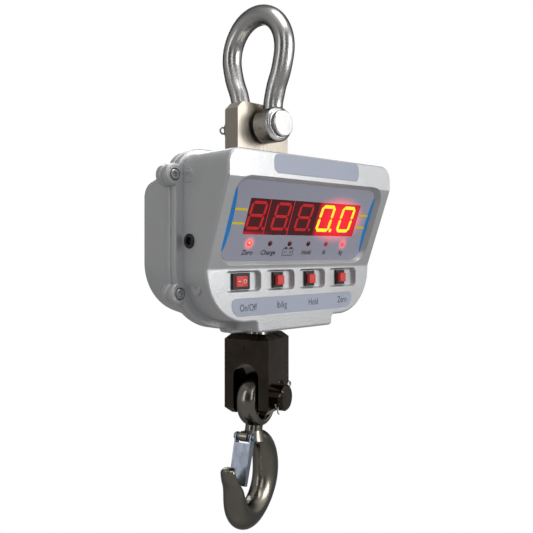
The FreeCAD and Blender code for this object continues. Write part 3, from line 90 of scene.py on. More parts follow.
# Seven-segment digits, in mm from the middle of the window
DIGIT_COUNT = 5
LIT_CELLS = (3, 4)
DIGIT_HALF_W = 9.3
DIGIT_HALF_H = 13.3
DIGIT_RISE = 1.2
DIGIT_SLANT = 0.085
DIGIT_PITCH = 34.1
DIGIT_SHIFT = -3.3
DIVIDER_SHIFT = -6.2
DIVIDER_WIDTH = 0.7
SEGMENT_WIDTH = 3.0
SEGMENT_GAP = 0.5
LIT_GROWTH = 0.25            # a lit stroke is wider by this on each side
GLOW_GROWTH = 0.75           # and its red fringe by this
GLOW_STEP = 0.06             # a lit stroke stands above its fringe by this
POINT_AHEAD = 4.2            # decimal point, past the digit's right-hand stroke
POINT_R = 1.7
LIT_POINT_R = 1.9
GLOW_POINT_R = 2.6

# Indicator lamps and the words under them, in mm
LAMP_R = 2.9
LAMP_RISE = 1.3
CAPTIONS = ["Zero", "Charge", "", "Hold", "lb", "kg"]
CAPTION_SIZE = 5.1
CAPTION_DROP = 10.0
LIT_DOTS = {0: 1.0, 5: 0.75}
LOW_DOT = 4
BATTERY_DOT = 2
BATTERY_HALF_W = 7.5
BATTERY_HALF_H = 3.6
BATTERY_LINE = 0.6
BATTERY_POST = (2.4, 5.4)
BATTERY_POST_H = 2.0
BATTERY_SIGN_X = 4.1
BATTERY_SIGN_HALF = 1.5

# Words under the switches: text, x and y on the label strip, in mm
LABELS = [("On/Off", -70.0, -0.6), ("lb/kg", -22.5, 0.0), ("Hold", 26.0, 0.4), ("Zero", 74.9, 0.6)]
LABEL_SIZE = 7.0
TEXT_SCALE = 1.4             # font size for a letter height of one
PRINT_LIFT = 0.06
PRINT_THICK = 0.05

# Marks on the power rocker, in mm
ROCKER_MARK_X = 3.3
ROCKER_MARK_LIFT = 0.12
ROCKER_DASH = (1.7, 0.9)
ROCKER_RING = (1.9, 2.1, 0.75)
SLOPE_SAMPLE = 1.5

# Studio, in metres
FLOOR_DROP = 0.12
FLOOR_HALF = 6.0
FLOOR_FADE = (0.10, 0.55)
SOFTBOXES = [
    ("key_front", (0.85, -1.75, 0.25), 0.9, 1.3, 18.0),
    ("key_left", (-1.15, -1.25, 0.35), 0.35, 1.3, 2.6),
    ("overhead", (0.0, -0.35, 1.25), 1.1, 1.1, 10),
    ("side_strip", (-1.7, 0.3, 0.1), 0.3, 1.2, 2.2),
    ("back_fill", (0.8, 1.6, 0.4), 0.9, 0.9, 8),
]


# ------------------------------------------------------------ shader helpers

def new_material(name):
    material = bpy.data.materials.new(name)
    material.use_nodes = True
    material.node_tree.nodes.clear()
    return material


class Graph:
    """Short names for building a node tree."""

    def __init__(self, tree):
        self.tree = tree

    def add(self, kind, **settings):
        node = self.tree.nodes.new(kind)
        for key, value in settings.items():
            setattr(node, key, value)
        return node

    def link(self, source, target):
        self.tree.links.new(source, target)

    def place(self):
        return self.add("ShaderNodeTexCoord").outputs["Object"]

    def noise(self, scale, detail=4.0, rough=0.5, stretch=None):
        node = self.add("ShaderNodeTexNoise")
        node.inputs["Scale"].default_value = scale
        node.inputs["Detail"].default_value = detail
        node.inputs["Roughness"].default_value = rough
        source = self.place()
        if stretch:
            mapping = self.add("ShaderNodeMapping")
            mapping.inputs["Scale"].default_value = stretch
            self.link(source, mapping.inputs["Vector"])
            source = mapping.outputs["Vector"]
        self.link(source, node.inputs["Vector"])
        return node.outputs["Fac"]

    def span(self, value, low, high, start=0.0, end=1.0, smooth=False):
        node = self.add("ShaderNodeMapRange")
        if smooth:
            node.interpolation_type = "SMOOTHSTEP"
        for key, number in zip(("From Min", "From Max", "To Min", "To Max"), (start, end, low, high)):
            node.inputs[key].default_value = number
        self.link(value, node.inputs["Value"])
        return node.outputs["Result"]

    def math(self, operation, a, b=None):
        node = self.add("ShaderNodeMath", operation=operation)
        for socket, value in zip(node.inputs, (a, b)):
            if value is None:
                continue
            if isinstance(value, (int, float)):
                socket.default_value = value
            else:
                self.link(value, socket)
        return node.outputs[0]

    def mix(self, factor, a, b):
        node = self.add("ShaderNodeMix", data_type="RGBA")
        if isinstance(factor, (int, float)):
            node.inputs["Factor"].default_value = factor
        else:
            self.link(factor, node.inputs["Factor"])
        for socket, value in ((node.inputs[6], a), (node.inputs[7], b)):
            if isinstance(value, (tuple, list)):
                socket.default_value = (*value[:3], 1)
            else:
                self.link(value, socket)
        return node.outputs[2]

    def distance(self, point, squash=(1, 1, 1)):
        """Distance from a point of the scale, in metres, along stretched axes."""
        shift = self.add("ShaderNodeVectorMath", operation="SUBTRACT")
        self.link(self.place(), shift.inputs[0])
        shift.inputs[1].default_value = point
        scaled = self.add("ShaderNodeVectorMath", operation="MULTIPLY")
        self.link(shift.outputs[0], scaled.inputs[0])
        scaled.inputs[1].default_value = squash
        length = self.add("ShaderNodeVectorMath", operation="LENGTH")
        self.link(scaled.outputs[0], length.inputs[0])
        return length.outputs["Value"]


def dim(colour, factor):
    return tuple(c * factor for c in colour)


def surface(name, colour, roughness, metallic=0.0, grain=900.0, bump=0.02, tone=0.1, rough_span=0.12,
            stretch=None, coat=0.0, edge=0.0004, patch=14.0, rim=0.0):
    """A painted, moulded or metal surface: uneven tone and gloss, fine grain and softened edges.

    grain and patch are the scales of the fine and the broad unevenness, edge is the radius of the
    softened edges, and rim is the strength of a painted shade that darkens the surface where it turns away
    from the eye.
    """
    material = new_material(name)
    g = Graph(material.node_tree)
    out = g.add("ShaderNodeOutputMaterial")
    shader = g.add("ShaderNodeBsdfPrincipled")
    g.link(shader.outputs[0], out.inputs["Surface"])
    broad = g.noise(patch, 5.0, 0.6)
    fine = g.noise(grain, 3.0, 0.6, stretch)
    uneven = g.math("ADD", g.math("MULTIPLY", broad, 0.6), g.math("MULTIPLY", fine, 0.4))
    blend = g.span(uneven, 0, 1, 0.3, 0.7)
    tint = g.mix(blend, dim(colour, 1 - tone), dim(colour, 1 + tone))
    # Painted shade: the colour darkens towards the silhouette, in place of dark reflections at grazing
    # angles.
    if rim:
        facing = g.add("ShaderNodeLayerWeight").outputs["Facing"]
        painted_rim_shade = g.span(facing, 0.0, rim, 0.22, 0.72, smooth=True)
        tint = g.mix(painted_rim_shade, tint, dim(colour, 0.10))
    g.link(tint, shader.inputs["Base Color"])
    low = max(roughness - rough_span, 0.03)
    g.link(g.span(blend, low, min(roughness + rough_span, 1.0)), shader.inputs["Roughness"])
    shader.inputs["Metallic"].default_value = metallic
    shader.inputs["Coat Weight"].default_value = coat
    shader.inputs["Coat Roughness"].default_value = 0.12
    rounded = g.add("ShaderNodeBevel", samples=4)
    rounded.inputs["Radius"].default_value = edge
    relief = g.add("ShaderNodeBump")
    relief.inputs["Strength"].default_value = bump
    relief.inputs["Distance"].default_value = 0.001
    g.link(fine, relief.inputs["Height"])
    g.link(rounded.outputs["Normal"], relief.inputs["Normal"])
    g.link(relief.outputs["Normal"], shader.inputs["Normal"])
    return material, g, shader


def plain(*args, **settings):
    """The material alone, where nothing is added to it."""
    return surface(*args, **settings)[0]


def polished(name, colour, roughness, smudge=0.05, bump=0.01, patch=22.0, rim=0.0, tone=0.06):
    """Bright bare or plated metal with faint handling marks."""
    return plain(name, colour, roughness, metallic=1.0, grain=1500.0, bump=bump, tone=tone,
                 rough_span=smudge, patch=patch, edge=0.0006, rim=rim)


# ------------------------------------------------------------ geometry helpers

def mesh_object(name, bm, material, body=ROOT, smooth=False):
    """Turns a built mesh into a painted piece that rides on a body."""
    mesh = bpy.data.meshes.new(name)
    bm.normal_update()
    bm.to_mesh(mesh)
    bm.free()
    item = bpy.data.objects.new(name, mesh)
    bpy.context.scene.collection.objects.link(item)
    mesh.materials.append(material)
    for polygon in mesh.polygons:
        polygon.use_smooth = smooth
    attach(item, body)


def face_frame(node, toward):
    """Frame on a node's largest flat face that looks toward a direction: x right, y up, z out."""
    mesh = NODES[node].data
    total = Vector((0, 0, 0))
    for polygon in mesh.polygons:
        if polygon.normal.dot(toward) > 0.75:
            total += polygon.normal * polygon.area
    out = total.normalized()
    reach = max(v.co.dot(out) for v in mesh.vertices)
    right = Vector((0, 0, 1)).cross(out).normalized()
    up = out.cross(right)
    spans = []
    for axis in (right, up):
        values = [v.co.dot(axis) for v in mesh.vertices if v.co.dot(out) > reach - 2e-5]
        spans.append((min(values) + max(values)) / 2)
    origin = right * spans[0] + up * spans[1] + out * reach
    return Matrix((
        (right.x, up.x, out.x, origin.x),
        (right.y, up.y, out.y, origin.y),
        (right.z, up.z, out.z, origin.z),
        (0, 0, 0, 1),
    ))


def plate(bm, place, outline, low, high):
    """Adds a thin prism; outline is in mm on the face, low and high are its heights in mm."""
    bottom = [bm.verts.new(place @ Vector((x * MM, y * MM, low * MM))) for x, y in outline]
    top = [bm.verts.new(place @ Vector((x * MM, y * MM, high * MM))) for x, y in outline]
    bm.faces.new(top)
    bm.faces.new(list(reversed(bottom)))
    count = len(outline)
    for i in range(count):
        j = (i + 1) % count
        bm.faces.new([bottom[i], bottom[j], top[j], top[i]])


def print_plates(name, place, outlines, material, body=ROOT, lift=PRINT_LIFT):
    """A printed layer of thin plates that stands lift above the face, in mm."""
    bm = bmesh.new()
    for outline in outlines:
        plate(bm, place, outline, lift - PRINT_THICK, lift)
    bmesh.ops.recalc_face_normals(bm, faces=bm.faces)
    mesh_object(name, bm, material, body)


def bar(x0, y0, x1, y1, width):
    """Outline of a square-ended stroke between two points."""
    along = Vector((x1 - x0, y1 - y0)).normalized()
    side = Vector((-along.y, along.x)) * width / 2
    start, end = Vector((x0, y0)), Vector((x1, y1))
    return [tuple(p) for p in (start - side, end - side, end + side, start + side)]


def ring_outlines(radius_x, radius_y, width, steps=28):
    """A ring as short strokes that meet end to end."""
    outlines = []
    for i in range(steps):
        a, b = (2 * math.pi * k / steps for k in (i, i + 1))
        outer = [(radius_x * math.cos(t), radius_y * math.sin(t)) for t in (a, b)]
        inner = [((radius_x - width) * math.cos(t), (radius_y - width) * math.sin(t)) for t in (b, a)]
        outlines.append(outer + inner)
    return outlines


def lettering(name, text, place, x, y, size, material, shear=0.0, squeeze=1.0, bold=0.0):
    """Printed word, centred on a point of the face, in mm."""
    curve = bpy.data.curves.new(name + "_curve", "FONT")
    curve.body = text
    curve.size = size * MM * TEXT_SCALE
    curve.align_x = "CENTER"
    curve.align_y = "CENTER"
    curve.shear = shear
    curve.offset = bold * MM
    curve.extrude = PRINT_THICK * MM / 2
    source = bpy.data.objects.new(name + "_source", curve)
    bpy.context.scene.collection.objects.link(source)
    bpy.context.view_layer.update()
    ready = source.evaluated_get(bpy.context.evaluated_depsgraph_get())
    mesh = bpy.data.meshes.new_from_object(ready)
    bpy.data.objects.remove(source)
    shift = Matrix.Translation((x * MM, y * MM, PRINT_LIFT * MM))
    mesh.transform(place @ shift @ Matrix.Diagonal((squeeze, 1, 1, 1)))
    mesh.materials.clear()
    mesh.materials.append(material)
    item = bpy.data.objects.new(name, mesh)
    bpy.context.scene.collection.objects.link(item)
    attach(item, ROOT)


def dome(name, place, x, y, radius, height, material, steps=24, levels=6):
    """Rounded lens on a face."""
    bm = bmesh.new()
    rings = []
    for level in range(levels):
        a = math.pi / 2 * level / levels
        ring = []
        for i in range(steps):
            t = 2 * math.pi * i / steps
            point = Vector(((x + radius * math.cos(a) * math.cos(t)) * MM,
                            (y + radius * math.cos(a) * math.sin(t)) * MM, height * math.sin(a) * MM))
            ring.append(bm.verts.new(place @ point))
        rings.append(ring)
    top = bm.verts.new(place @ Vector((x * MM, y * MM, height * MM)))
    for lower, upper in zip(rings, rings[1:]):
        for i in range(steps):
            j = (i + 1) % steps
            bm.faces.new([lower[i], lower[j], upper[j], upper[i]])
    for i in range(steps):
        bm.faces.new([rings[-1][i], rings[-1][(i + 1) % steps], top])
    bm.faces.new(list(reversed(rings[0])))
    mesh_object(name, bm, material, smooth=True)


# ------------------------------------------------------------ faces that carry print

FILM = face_frame("display_film", SLOPE_OUT)
WINDOW = face_frame("display_window", SLOPE_OUT)
SWITCHES = face_frame("switch_label", FRONT_OUT)
WINDOW_LOW, WINDOW_HIGH = (Vector(corner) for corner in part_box("display_window"))
CELL_PITCH = (WINDOW_HIGH.x - WINDOW_LOW.x) / MM / DIGIT_COUNT
LIT_MIDDLE = (LIT_CELLS[0] + len(LIT_CELLS) / 2 - DIGIT_COUNT / 2) * CELL_PITCH


def dot_places():
    """Middle of each indicator lamp on the film, in mm."""
    mesh = NODES["indicator_leds"].data
    inverse = FILM.inverted()
    front = [inverse @ v.co for v in mesh.vertices]
    tip = max(p.z for p in front)
    points = sorted((p for p in front if p.z > tip - 1e-4), key=lambda p: p.x)
    groups = [[points[0]]]
    for point in points[1:]:
        if point.x - groups[-1][-1].x > 0.008:
            groups.append([])
        groups[-1].append(point)
    places = []
    for members in groups:
        xs = [p.x for p in members]
        ys = [p.y for p in members]
        places.append(((min(xs) + max(xs)) / 2 / MM, (min(ys) + max(ys)) / 2 / MM))
    return places


DOTS = dot_places()


# ------------------------------------------------------------ materials by slot

def film_material():
    """Satin grey film with a painted red glow round the lit lamps and digits."""
    material, g, shader = surface("film_print", (0.38, 0.385, 0.475), 0.38, grain=500.0, bump=0.01,
                                  tone=0.05, coat=0.15, edge=0.0001)
    glow = None
    # Painted glow: the film shines red round each lit lamp and round the lit digits.
    for index, strength in LIT_DOTS.items():
        centre = FILM @ Vector((DOTS[index][0] * MM, DOTS[index][1] * MM, 0))
        halo = g.span(g.distance(centre), strength, 0.0, 0.001, 0.009, smooth=True)
        glow = halo if glow is None else g.math("ADD", glow, halo)
    lit = WINDOW @ Vector((LIT_MIDDLE * MM, 0, 0))
    digit_glow = g.span(g.distance(lit, (1.0, 1.0, 1.75)), 0.70, 0.0, 0.026, 0.050, smooth=True)
    g.link(g.math("ADD", glow, digit_glow), shader.inputs["Emission Strength"])
    shader.inputs["Emission Color"].default_value = (1.0, 0.05, 0.07, 1)
    return material


def window_material():
    """Red window: dark over the unlit digits, with a painted glow over the lit ones, a faint painted glow
    elsewhere and a stronger one along its bottom edge towards the left end.
    """
    material, g, shader = surface("red_window", (0.045, 0.002, 0.004), 0.22, grain=400.0, bump=0.01,
                                  tone=0.3, coat=0.3, edge=0.0001)
    # Painted glow over the lit digits.
    centre = WINDOW @ Vector((LIT_MIDDLE * MM, 0, 0))
    split = g.add("ShaderNodeSeparateXYZ")
    g.link(g.place(), split.inputs[0])
    edge = (LIT_CELLS[0] - DIGIT_COUNT / 2) * CELL_PITCH * MM
    step = g.span(split.outputs["X"], 0.0, 1.0, edge - 0.003, edge + 0.005, smooth=True)
    heart = g.span(g.distance(centre, (0.75, 1.0, 1.2)), 0.98, 0.50, 0.008, 0.034, smooth=True)
    # Painted glow: faint over the unlit part, stronger along the bottom edge towards the left end.
    low_edge = (WINDOW @ Vector((0, -WINDOW_RISE * MM, 0))).z
    foot = g.span(split.outputs["Z"], 0.5, 0.0, low_edge, low_edge + 0.0045, smooth=True)
    side = g.span(split.outputs["X"], 1.0, 0.0, WINDOW_LOW.x, WINDOW_LOW.x + 0.045, smooth=True)
    unlit = g.math("ADD", 0.028, g.math("MULTIPLY", foot, side))
    strength = g.math("ADD", g.math("MULTIPLY", step, heart), unlit)
    g.link(strength, shader.inputs["Emission Strength"])
    shader.inputs["Emission Color"].default_value = (1.0, 0.012, 0.028, 1)
    return material


def emitter(name, colour, strength, base=(0.2, 0.01, 0.01)):
    """A surface that shines, a little unevenly."""
    material, g, shader = surface(name, base, 0.3, grain=700.0, bump=0.01, edge=0.00005)
    flicker = g.noise(260.0, 2.0)
    g.link(g.span(flicker, strength * 0.85, strength * 1.15, 0.3, 0.7), shader.inputs["Emission Strength"])
    shader.inputs["Emission Color"].default_value = (*colour, 1)
    return material


def lamp_material(name, index, strength):
    """Lit lamp: red, with a hot yellow heart to the upper left."""
    material, g, shader = surface(name, (0.5, 0.02, 0.02), 0.2, grain=600.0, bump=0.005, edge=0.00005)
    x, y = DOTS[index]
    heart = FILM @ Vector(((x - 0.9) * MM, (y + 0.8) * MM, 1.2 * MM))
    hot = g.span(g.distance(heart), 1.0, 0.0, 0.0002, 0.0018, smooth=True)
    hot = g.math("MULTIPLY", hot, max(3 * strength - 2, 0.0))
    g.link(g.mix(hot, (1.0, 0.03, 0.05), (1.0, 0.75, 0.05)), shader.inputs["Emission Color"])
    shader.inputs["Emission Strength"].default_value = 0.9 + 0.4 * strength
    return material


def cap_material():
    """Moulded red cap with a fine square texture."""
    material, g, shader = surface("red_plastic", (0.78, 0.035, 0.03), 0.34, grain=600.0, bump=0.02,
                                  tone=0.05, coat=0.2)
    waves = []
    for direction in ("X", "Z"):
        wave = g.add("ShaderNodeTexWave", bands_direction=direction)
        wave.inputs["Scale"].default_value = 260.0
        wave.inputs["Distortion"].default_value = 0.0
        g.link(g.place(), wave.inputs["Vector"])
        waves.append(wave.outputs["Fac"])
    relief = g.add("ShaderNodeBump")
    relief.inputs["Strength"].default_value = 0.25
    relief.inputs["Distance"].default_value = 0.0003
    g.link(g.math("ADD", waves[0], waves[1]), relief.inputs["Height"])
    g.link(relief.outputs["Normal"], shader.inputs["Normal"])
    return material


def eye_plate_material():
    """Satin nickel, with the faint warm clouding of a plated billet."""
    return plain("nickel_plate", (0.50, 0.45, 0.38), 0.32, metallic=1.0, grain=700.0, bump=0.015, tone=0.10,
                 rough_span=0.07, stretch=(1.0, 1.0, 0.08), patch=18.0, edge=0.0007)


MATERIALS = {
    "silver_paint": plain("silver_paint", (0.60, 0.605, 0.615), 0.40, metallic=0.55, grain=480.0, bump=0.26,
                          tone=0.05, rough_span=0.07, coat=0.35, edge=0.0009),
    "black_rubber": plain("black_rubber", (0.02, 0.02, 0.02), 0.75, bump=0.05, tone=0.2),
    "zinc_screw": polished("zinc_screw", (0.62, 0.62, 0.61), 0.27),
    "film_print": film_material(),
    "red_window": window_material(),
    "red_led": plain("red_led", (0.25, 0.01, 0.012), 0.25, bump=0.01),
    "circuit_board": plain("circuit_board", (0.02, 0.14, 0.06), 0.35, grain=1200.0, bump=0.04),
    "nameplate_film": plain("nameplate_film", (0.42, 0.46, 0.56), 0.42, grain=500.0, bump=0.01,
                            tone=0.05, coat=0.1),
    "label_film": plain("label_film", (0.43, 0.465, 0.57), 0.42, grain=500.0, bump=0.01,
                        tone=0.05, coat=0.1),
    "black_plastic": plain("black_plastic", (0.012, 0.012, 0.013), 0.38, bump=0.05, tone=0.2),
    "red_plastic": cap_material(),
    "socket_plastic": plain("socket_plastic", (0.015, 0.015, 0.015), 0.4, bump=0.04, tone=0.2),
    "nut_plate": polished("nut_plate", (0.6, 0.6, 0.58), 0.25),
    "battery_case": plain("battery_case", (0.04, 0.04, 0.045), 0.5, bump=0.05),
    "bracket_zinc": polished("bracket_zinc", (0.6, 0.6, 0.62), 0.3),
    "nickel_plate": eye_plate_material(),
    "bearing_steel": polished("bearing_steel", (0.7, 0.7, 0.7), 0.12),
    "dark_steel": polished("dark_steel", (0.62, 0.57, 0.48), 0.16),
    "split_pin_steel": polished("split_pin_steel", (0.62, 0.60, 0.57), 0.24),
    # rim paints shade on the steel where it turns away from the eye
    "polished_steel": polished("polished_steel", (0.66, 0.65, 0.64), 0.26, smudge=0.10, bump=0.08,
                               rim=1.0, tone=0.16),
    "black_chrome": polished("black_chrome", (0.075, 0.060, 0.046), 0.09, smudge=0.06, bump=0.010,
                             tone=0.45, patch=34.0),
    # rim paints shade on the hook where it turns away from the eye
    "hook_chrome": polished("hook_chrome", (0.30, 0.28, 0.235), 0.20, smudge=0.09, bump=0.05,
                            patch=34.0, rim=0.80, tone=0.22),
    "latch_zinc": plain("latch_zinc", (0.36, 0.40, 0.48), 0.33, metallic=1.0, grain=240.0, bump=0.02,
                        tone=0.14, rough_span=0.12, stretch=(1.0, 1.0, 0.25), patch=60.0),
    "cable_jacket": plain("cable_jacket", (0.03, 0.03, 0.03), 0.6, bump=0.04),
    "red_wire": plain("red_wire", (0.5, 0.03, 0.03), 0.5, bump=0.03),
    "ribbon_grey": plain("ribbon_grey", (0.35, 0.35, 0.36), 0.5, bump=0.03),
}


def paint_nodes():
    """Gives every solid the material of its slot."""
    for part in frame["record"]["subparts"]:
        item = NODES[part["node"]]
        item.data.materials.clear()
        item.data.materials.append(MATERIALS[part["material_slot"]])
        for polygon in item.data.polygons:
            polygon.material_index = 0


# ------------------------------------------------------------ printed and lit details

INK = plain("ink_black", (0.012, 0.012, 0.016), 0.5, bump=0.01, tone=0.2)
GREY_INK = plain("ink_grey", (0.09, 0.095, 0.12), 0.5, bump=0.01, tone=0.2)
WHITE_INK = plain("ink_white", (0.85, 0.78, 0.78), 0.5, bump=0.01, tone=0.03)
BLUE_INK = plain("ink_blue", (0.008, 0.24, 0.66), 0.4, bump=0.01, tone=0.12, coat=0.2)
YELLOW_INK = plain("ink_yellow", (0.86, 0.70, 0.008), 0.4, bump=0.01, tone=0.06)
DIM_RED = emitter("segment_dim", (1.0, 0.015, 0.03), 0.36)
LIT_YELLOW = emitter("segment_lit", (1.0, 0.84, 0.004), 1.15)
LIT_EDGE = emitter("segment_edge", (1.0, 0.16, 0.22), 0.80)
# Painted glow: thin red lines of light on the window at the edges between unlit digit cells.
DIVIDER_GLOW = emitter("divider_painted_glow", (1.0, 0.03, 0.05), 0.62)


def film_bands():
    """Blue crescents along the film's two upright edges."""
    outlines = []
    steps = 20
    for side in (-1, 1):
        outer = []
        inner = []
        for i in range(steps + 1):
            t = i / steps
            y = -(BAND_S[0] + (BAND_S[1] - BAND_S[0]) * t)
            width = BAND_WIDTH * math.sqrt(max(1 - (2 * t - 1) ** 2, 0.0004))
            outer.append((side * BAND_X, y))
            inner.append((side * (BAND_X - width), y))
        for i in range(steps):
            outlines.append([outer[i], outer[i + 1], inner[i + 1], inner[i]])
    print_plates("film_blue_bands", FILM, outlines, BLUE_INK)


def film_ticks():
    """Two short yellow lines at each end of the window."""
    outlines = []
    for x0, x1 in TICK_X:
        for s in TICK_S:
            outlines.append(bar(x0, -s, x1, -s, TICK_WIDTH))
    print_plates("film_yellow_ticks", FILM, outlines, YELLOW_INK)


def segment(x0, y0, x1, y1, width):
    """Outline of one display segment, with pointed ends."""
    along = Vector((x1 - x0, y1 - y0)).normalized()
    side = Vector((-along.y, along.x)) * width / 2
    start, end = Vector((x0, y0)), Vector((x1, y1))
    nose = along * width / 2
    points = (start, start + nose - side, end - nose - side, end, end - nose + side, start + nose + side)
    return [tuple(p) for p in points]


def digit_outlines(x, names, grow=0.0):
    """Seven-segment strokes centred on x; names lists the segments by letter."""
    w, h = DIGIT_HALF_W, DIGIT_HALF_H
    gap = SEGMENT_GAP - grow
    lines = {
        "a": (-w + gap, h, w - gap, h), "b": (w, gap, w, h - gap), "c": (w, -h + gap, w, -gap),
        "d": (-w + gap, -h, w - gap, -h), "e": (-w, -h + gap, -w, -gap), "f": (-w, gap, -w, h - gap),
        "g": (-w + gap, 0, w - gap, 0),
    }
    outlines = []
    for letter in names:
        x0, y0, x1, y1 = lines[letter]
        outlines.append(segment(x + x0, y0, x + x1, y1, SEGMENT_WIDTH + 2 * grow))
    return outlines


def slanted(outline):
    """Leans an upright outline and lifts it to its place in the window."""
    return [(x + DIGIT_SLANT * y, y + DIGIT_RISE) for x, y in outline]


def point_outline(x, radius, steps=16):
    """Round decimal point after the digit centred on x."""
    centre_x = x + DIGIT_HALF_W + POINT_AHEAD
    turns = [2 * math.pi * i / steps for i in range(steps)]
    return [(centre_x + radius * math.cos(t), -DIGIT_HALF_H + radius * math.sin(t)) for t in turns]


def led_digits():
    """Two lit zeros with their point, and three unlit eights."""
    dim_strokes = []
    lit_strokes = []
    lit_edges = []
    dividers = []
    for i in range(DIGIT_COUNT):
        x = (i - (DIGIT_COUNT - 1) / 2) * DIGIT_PITCH + DIGIT_SHIFT
        if i in LIT_CELLS:
            lit_strokes += digit_outlines(x, "abcdef", LIT_GROWTH)
            lit_edges += digit_outlines(x, "abcdef", GLOW_GROWTH)
            if i == LIT_CELLS[0]:
                lit_strokes.append(point_outline(x, LIT_POINT_R))
                lit_edges.append(point_outline(x, GLOW_POINT_R))
        else:
            dim_strokes += digit_outlines(x, "abcdefg")
            dim_strokes.append(point_outline(x, POINT_R))
        # Painted glow lines at the cell edges left of the lit digits.
        if 0 < i < LIT_CELLS[0]:
            edge = (i - DIGIT_COUNT / 2) * CELL_PITCH + DIVIDER_SHIFT
            dividers.append(bar(edge, -WINDOW_RISE, edge, WINDOW_RISE, DIVIDER_WIDTH))
    print_plates("segments_dim", WINDOW, [slanted(s) for s in dim_strokes], DIM_RED)
    print_plates("segments_glow", WINDOW, [slanted(s) for s in lit_edges], LIT_EDGE)
    print_plates("segments_lit", WINDOW, [slanted(s) for s in lit_strokes], LIT_YELLOW,
                 lift=PRINT_LIFT + GLOW_STEP)
    print_plates("digit_divider_glows", WINDOW, dividers, DIVIDER_GLOW)


def lamps():
    """Six lamp lenses: two lit, one faint and three dark."""
    dark = plain("lamp_dark", (0.10, 0.006, 0.010), 0.2, bump=0.01)
    low = emitter("lamp_low", (1.0, 0.02, 0.03), 0.22, base=(0.25, 0.01, 0.015))
    for i, (x, y) in enumerate(DOTS):
        material = low if i == LOW_DOT else dark
        if i in LIT_DOTS:
            material = lamp_material("lamp_lit_%d" % i, i, LIT_DOTS[i])
        dome("lamp_lens_%d" % i, FILM, x, y, LAMP_R, LAMP_RISE, material)


def captions():
    """Words under the lamps, and the battery sign under the third."""
    for i, word in enumerate(CAPTIONS):
        x, y = DOTS[i]
        if word:
            lettering("caption_%d" % i, word, FILM, x, y - CAPTION_DROP, CAPTION_SIZE, INK,
                      shear=0.15, bold=0.11)
    battery_sign()


def battery_sign():
    """Battery outline with its two posts, a minus on the left and a plus on the right."""
    x, y = DOTS[BATTERY_DOT]
    y -= CAPTION_DROP - BATTERY_LINE
    w, h, line = BATTERY_HALF_W, BATTERY_HALF_H, BATTERY_LINE
    near, far = BATTERY_POST
    post_y = y + h + 1.1
    sign, half = BATTERY_SIGN_X, BATTERY_SIGN_HALF
    strokes = []
    for side in (-1, 1):
        strokes.append(bar(x - w, y + side * h, x + w, y + side * h, line))
        strokes.append(bar(x + side * w, y - h, x + side * w, y + h, line))
        strokes.append(bar(x + side * near, post_y, x + side * far, post_y, BATTERY_POST_H))
        strokes.append(bar(x + side * sign - half, y, x + side * sign + half, y, line))
    strokes.append(bar(x + sign, y - half, x + sign, y + half, line))
    print_plates("caption_battery", FILM, strokes, INK)


def switch_words():
    """Words on the label strip under the switches."""
    for i, (word, x, y) in enumerate(LABELS):
        lettering("switch_word_%d" % i, word, SWITCHES, x, y, LABEL_SIZE, GREY_INK,
                  squeeze=0.80, bold=0.04)


def surface_y(item, x, z):
    """Front surface of a piece where a line along Y at x, z first meets it."""
    hit, point, _, _ = item.ray_cast(Vector((x, -0.2, z)), Vector((0, 1, 0)))
    return point.y if hit else 0.0


def rocker_frame(side):
    """Frame on one half of the power rocker's two-part face: x right, y up, z out."""
    rocker = NODES["power_rocker"]
    low, high = (Vector(corner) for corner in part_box("power_rocker"))
    centre = (low + high) / 2
    x = centre.x + side * ROCKER_MARK_X * MM
    step = SLOPE_SAMPLE * MM
    rise = surface_y(rocker, x + step, centre.z) - surface_y(rocker, x - step, centre.z)
    right = Vector((1, rise / (2 * step), 0)).normalized()
    up = Vector((0, 0, 1))
    out = right.cross(up)
    depth = surface_y(rocker, x, centre.z)
    return Matrix((
        (right.x, up.x, out.x, x),
        (right.y, up.y, out.y, depth),
        (right.z, up.z, out.z, centre.z),
        (0, 0, 0, 1),
    ))


def rocker_marks():
    """A dash on the on side of the rocker and a ring on the off side."""
    half, width = ROCKER_DASH
    dash = [bar(-half, 0, half, 0, width)]
    ring = ring_outlines(*ROCKER_RING)
    for name, side, outlines in (("rocker_dash", -1, dash), ("rocker_ring", 1, ring)):
        print_plates(name, rocker_frame(side), outlines, WHITE_INK, body="rocker", lift=ROCKER_MARK_LIFT)


# ------------------------------------------------------------ studio

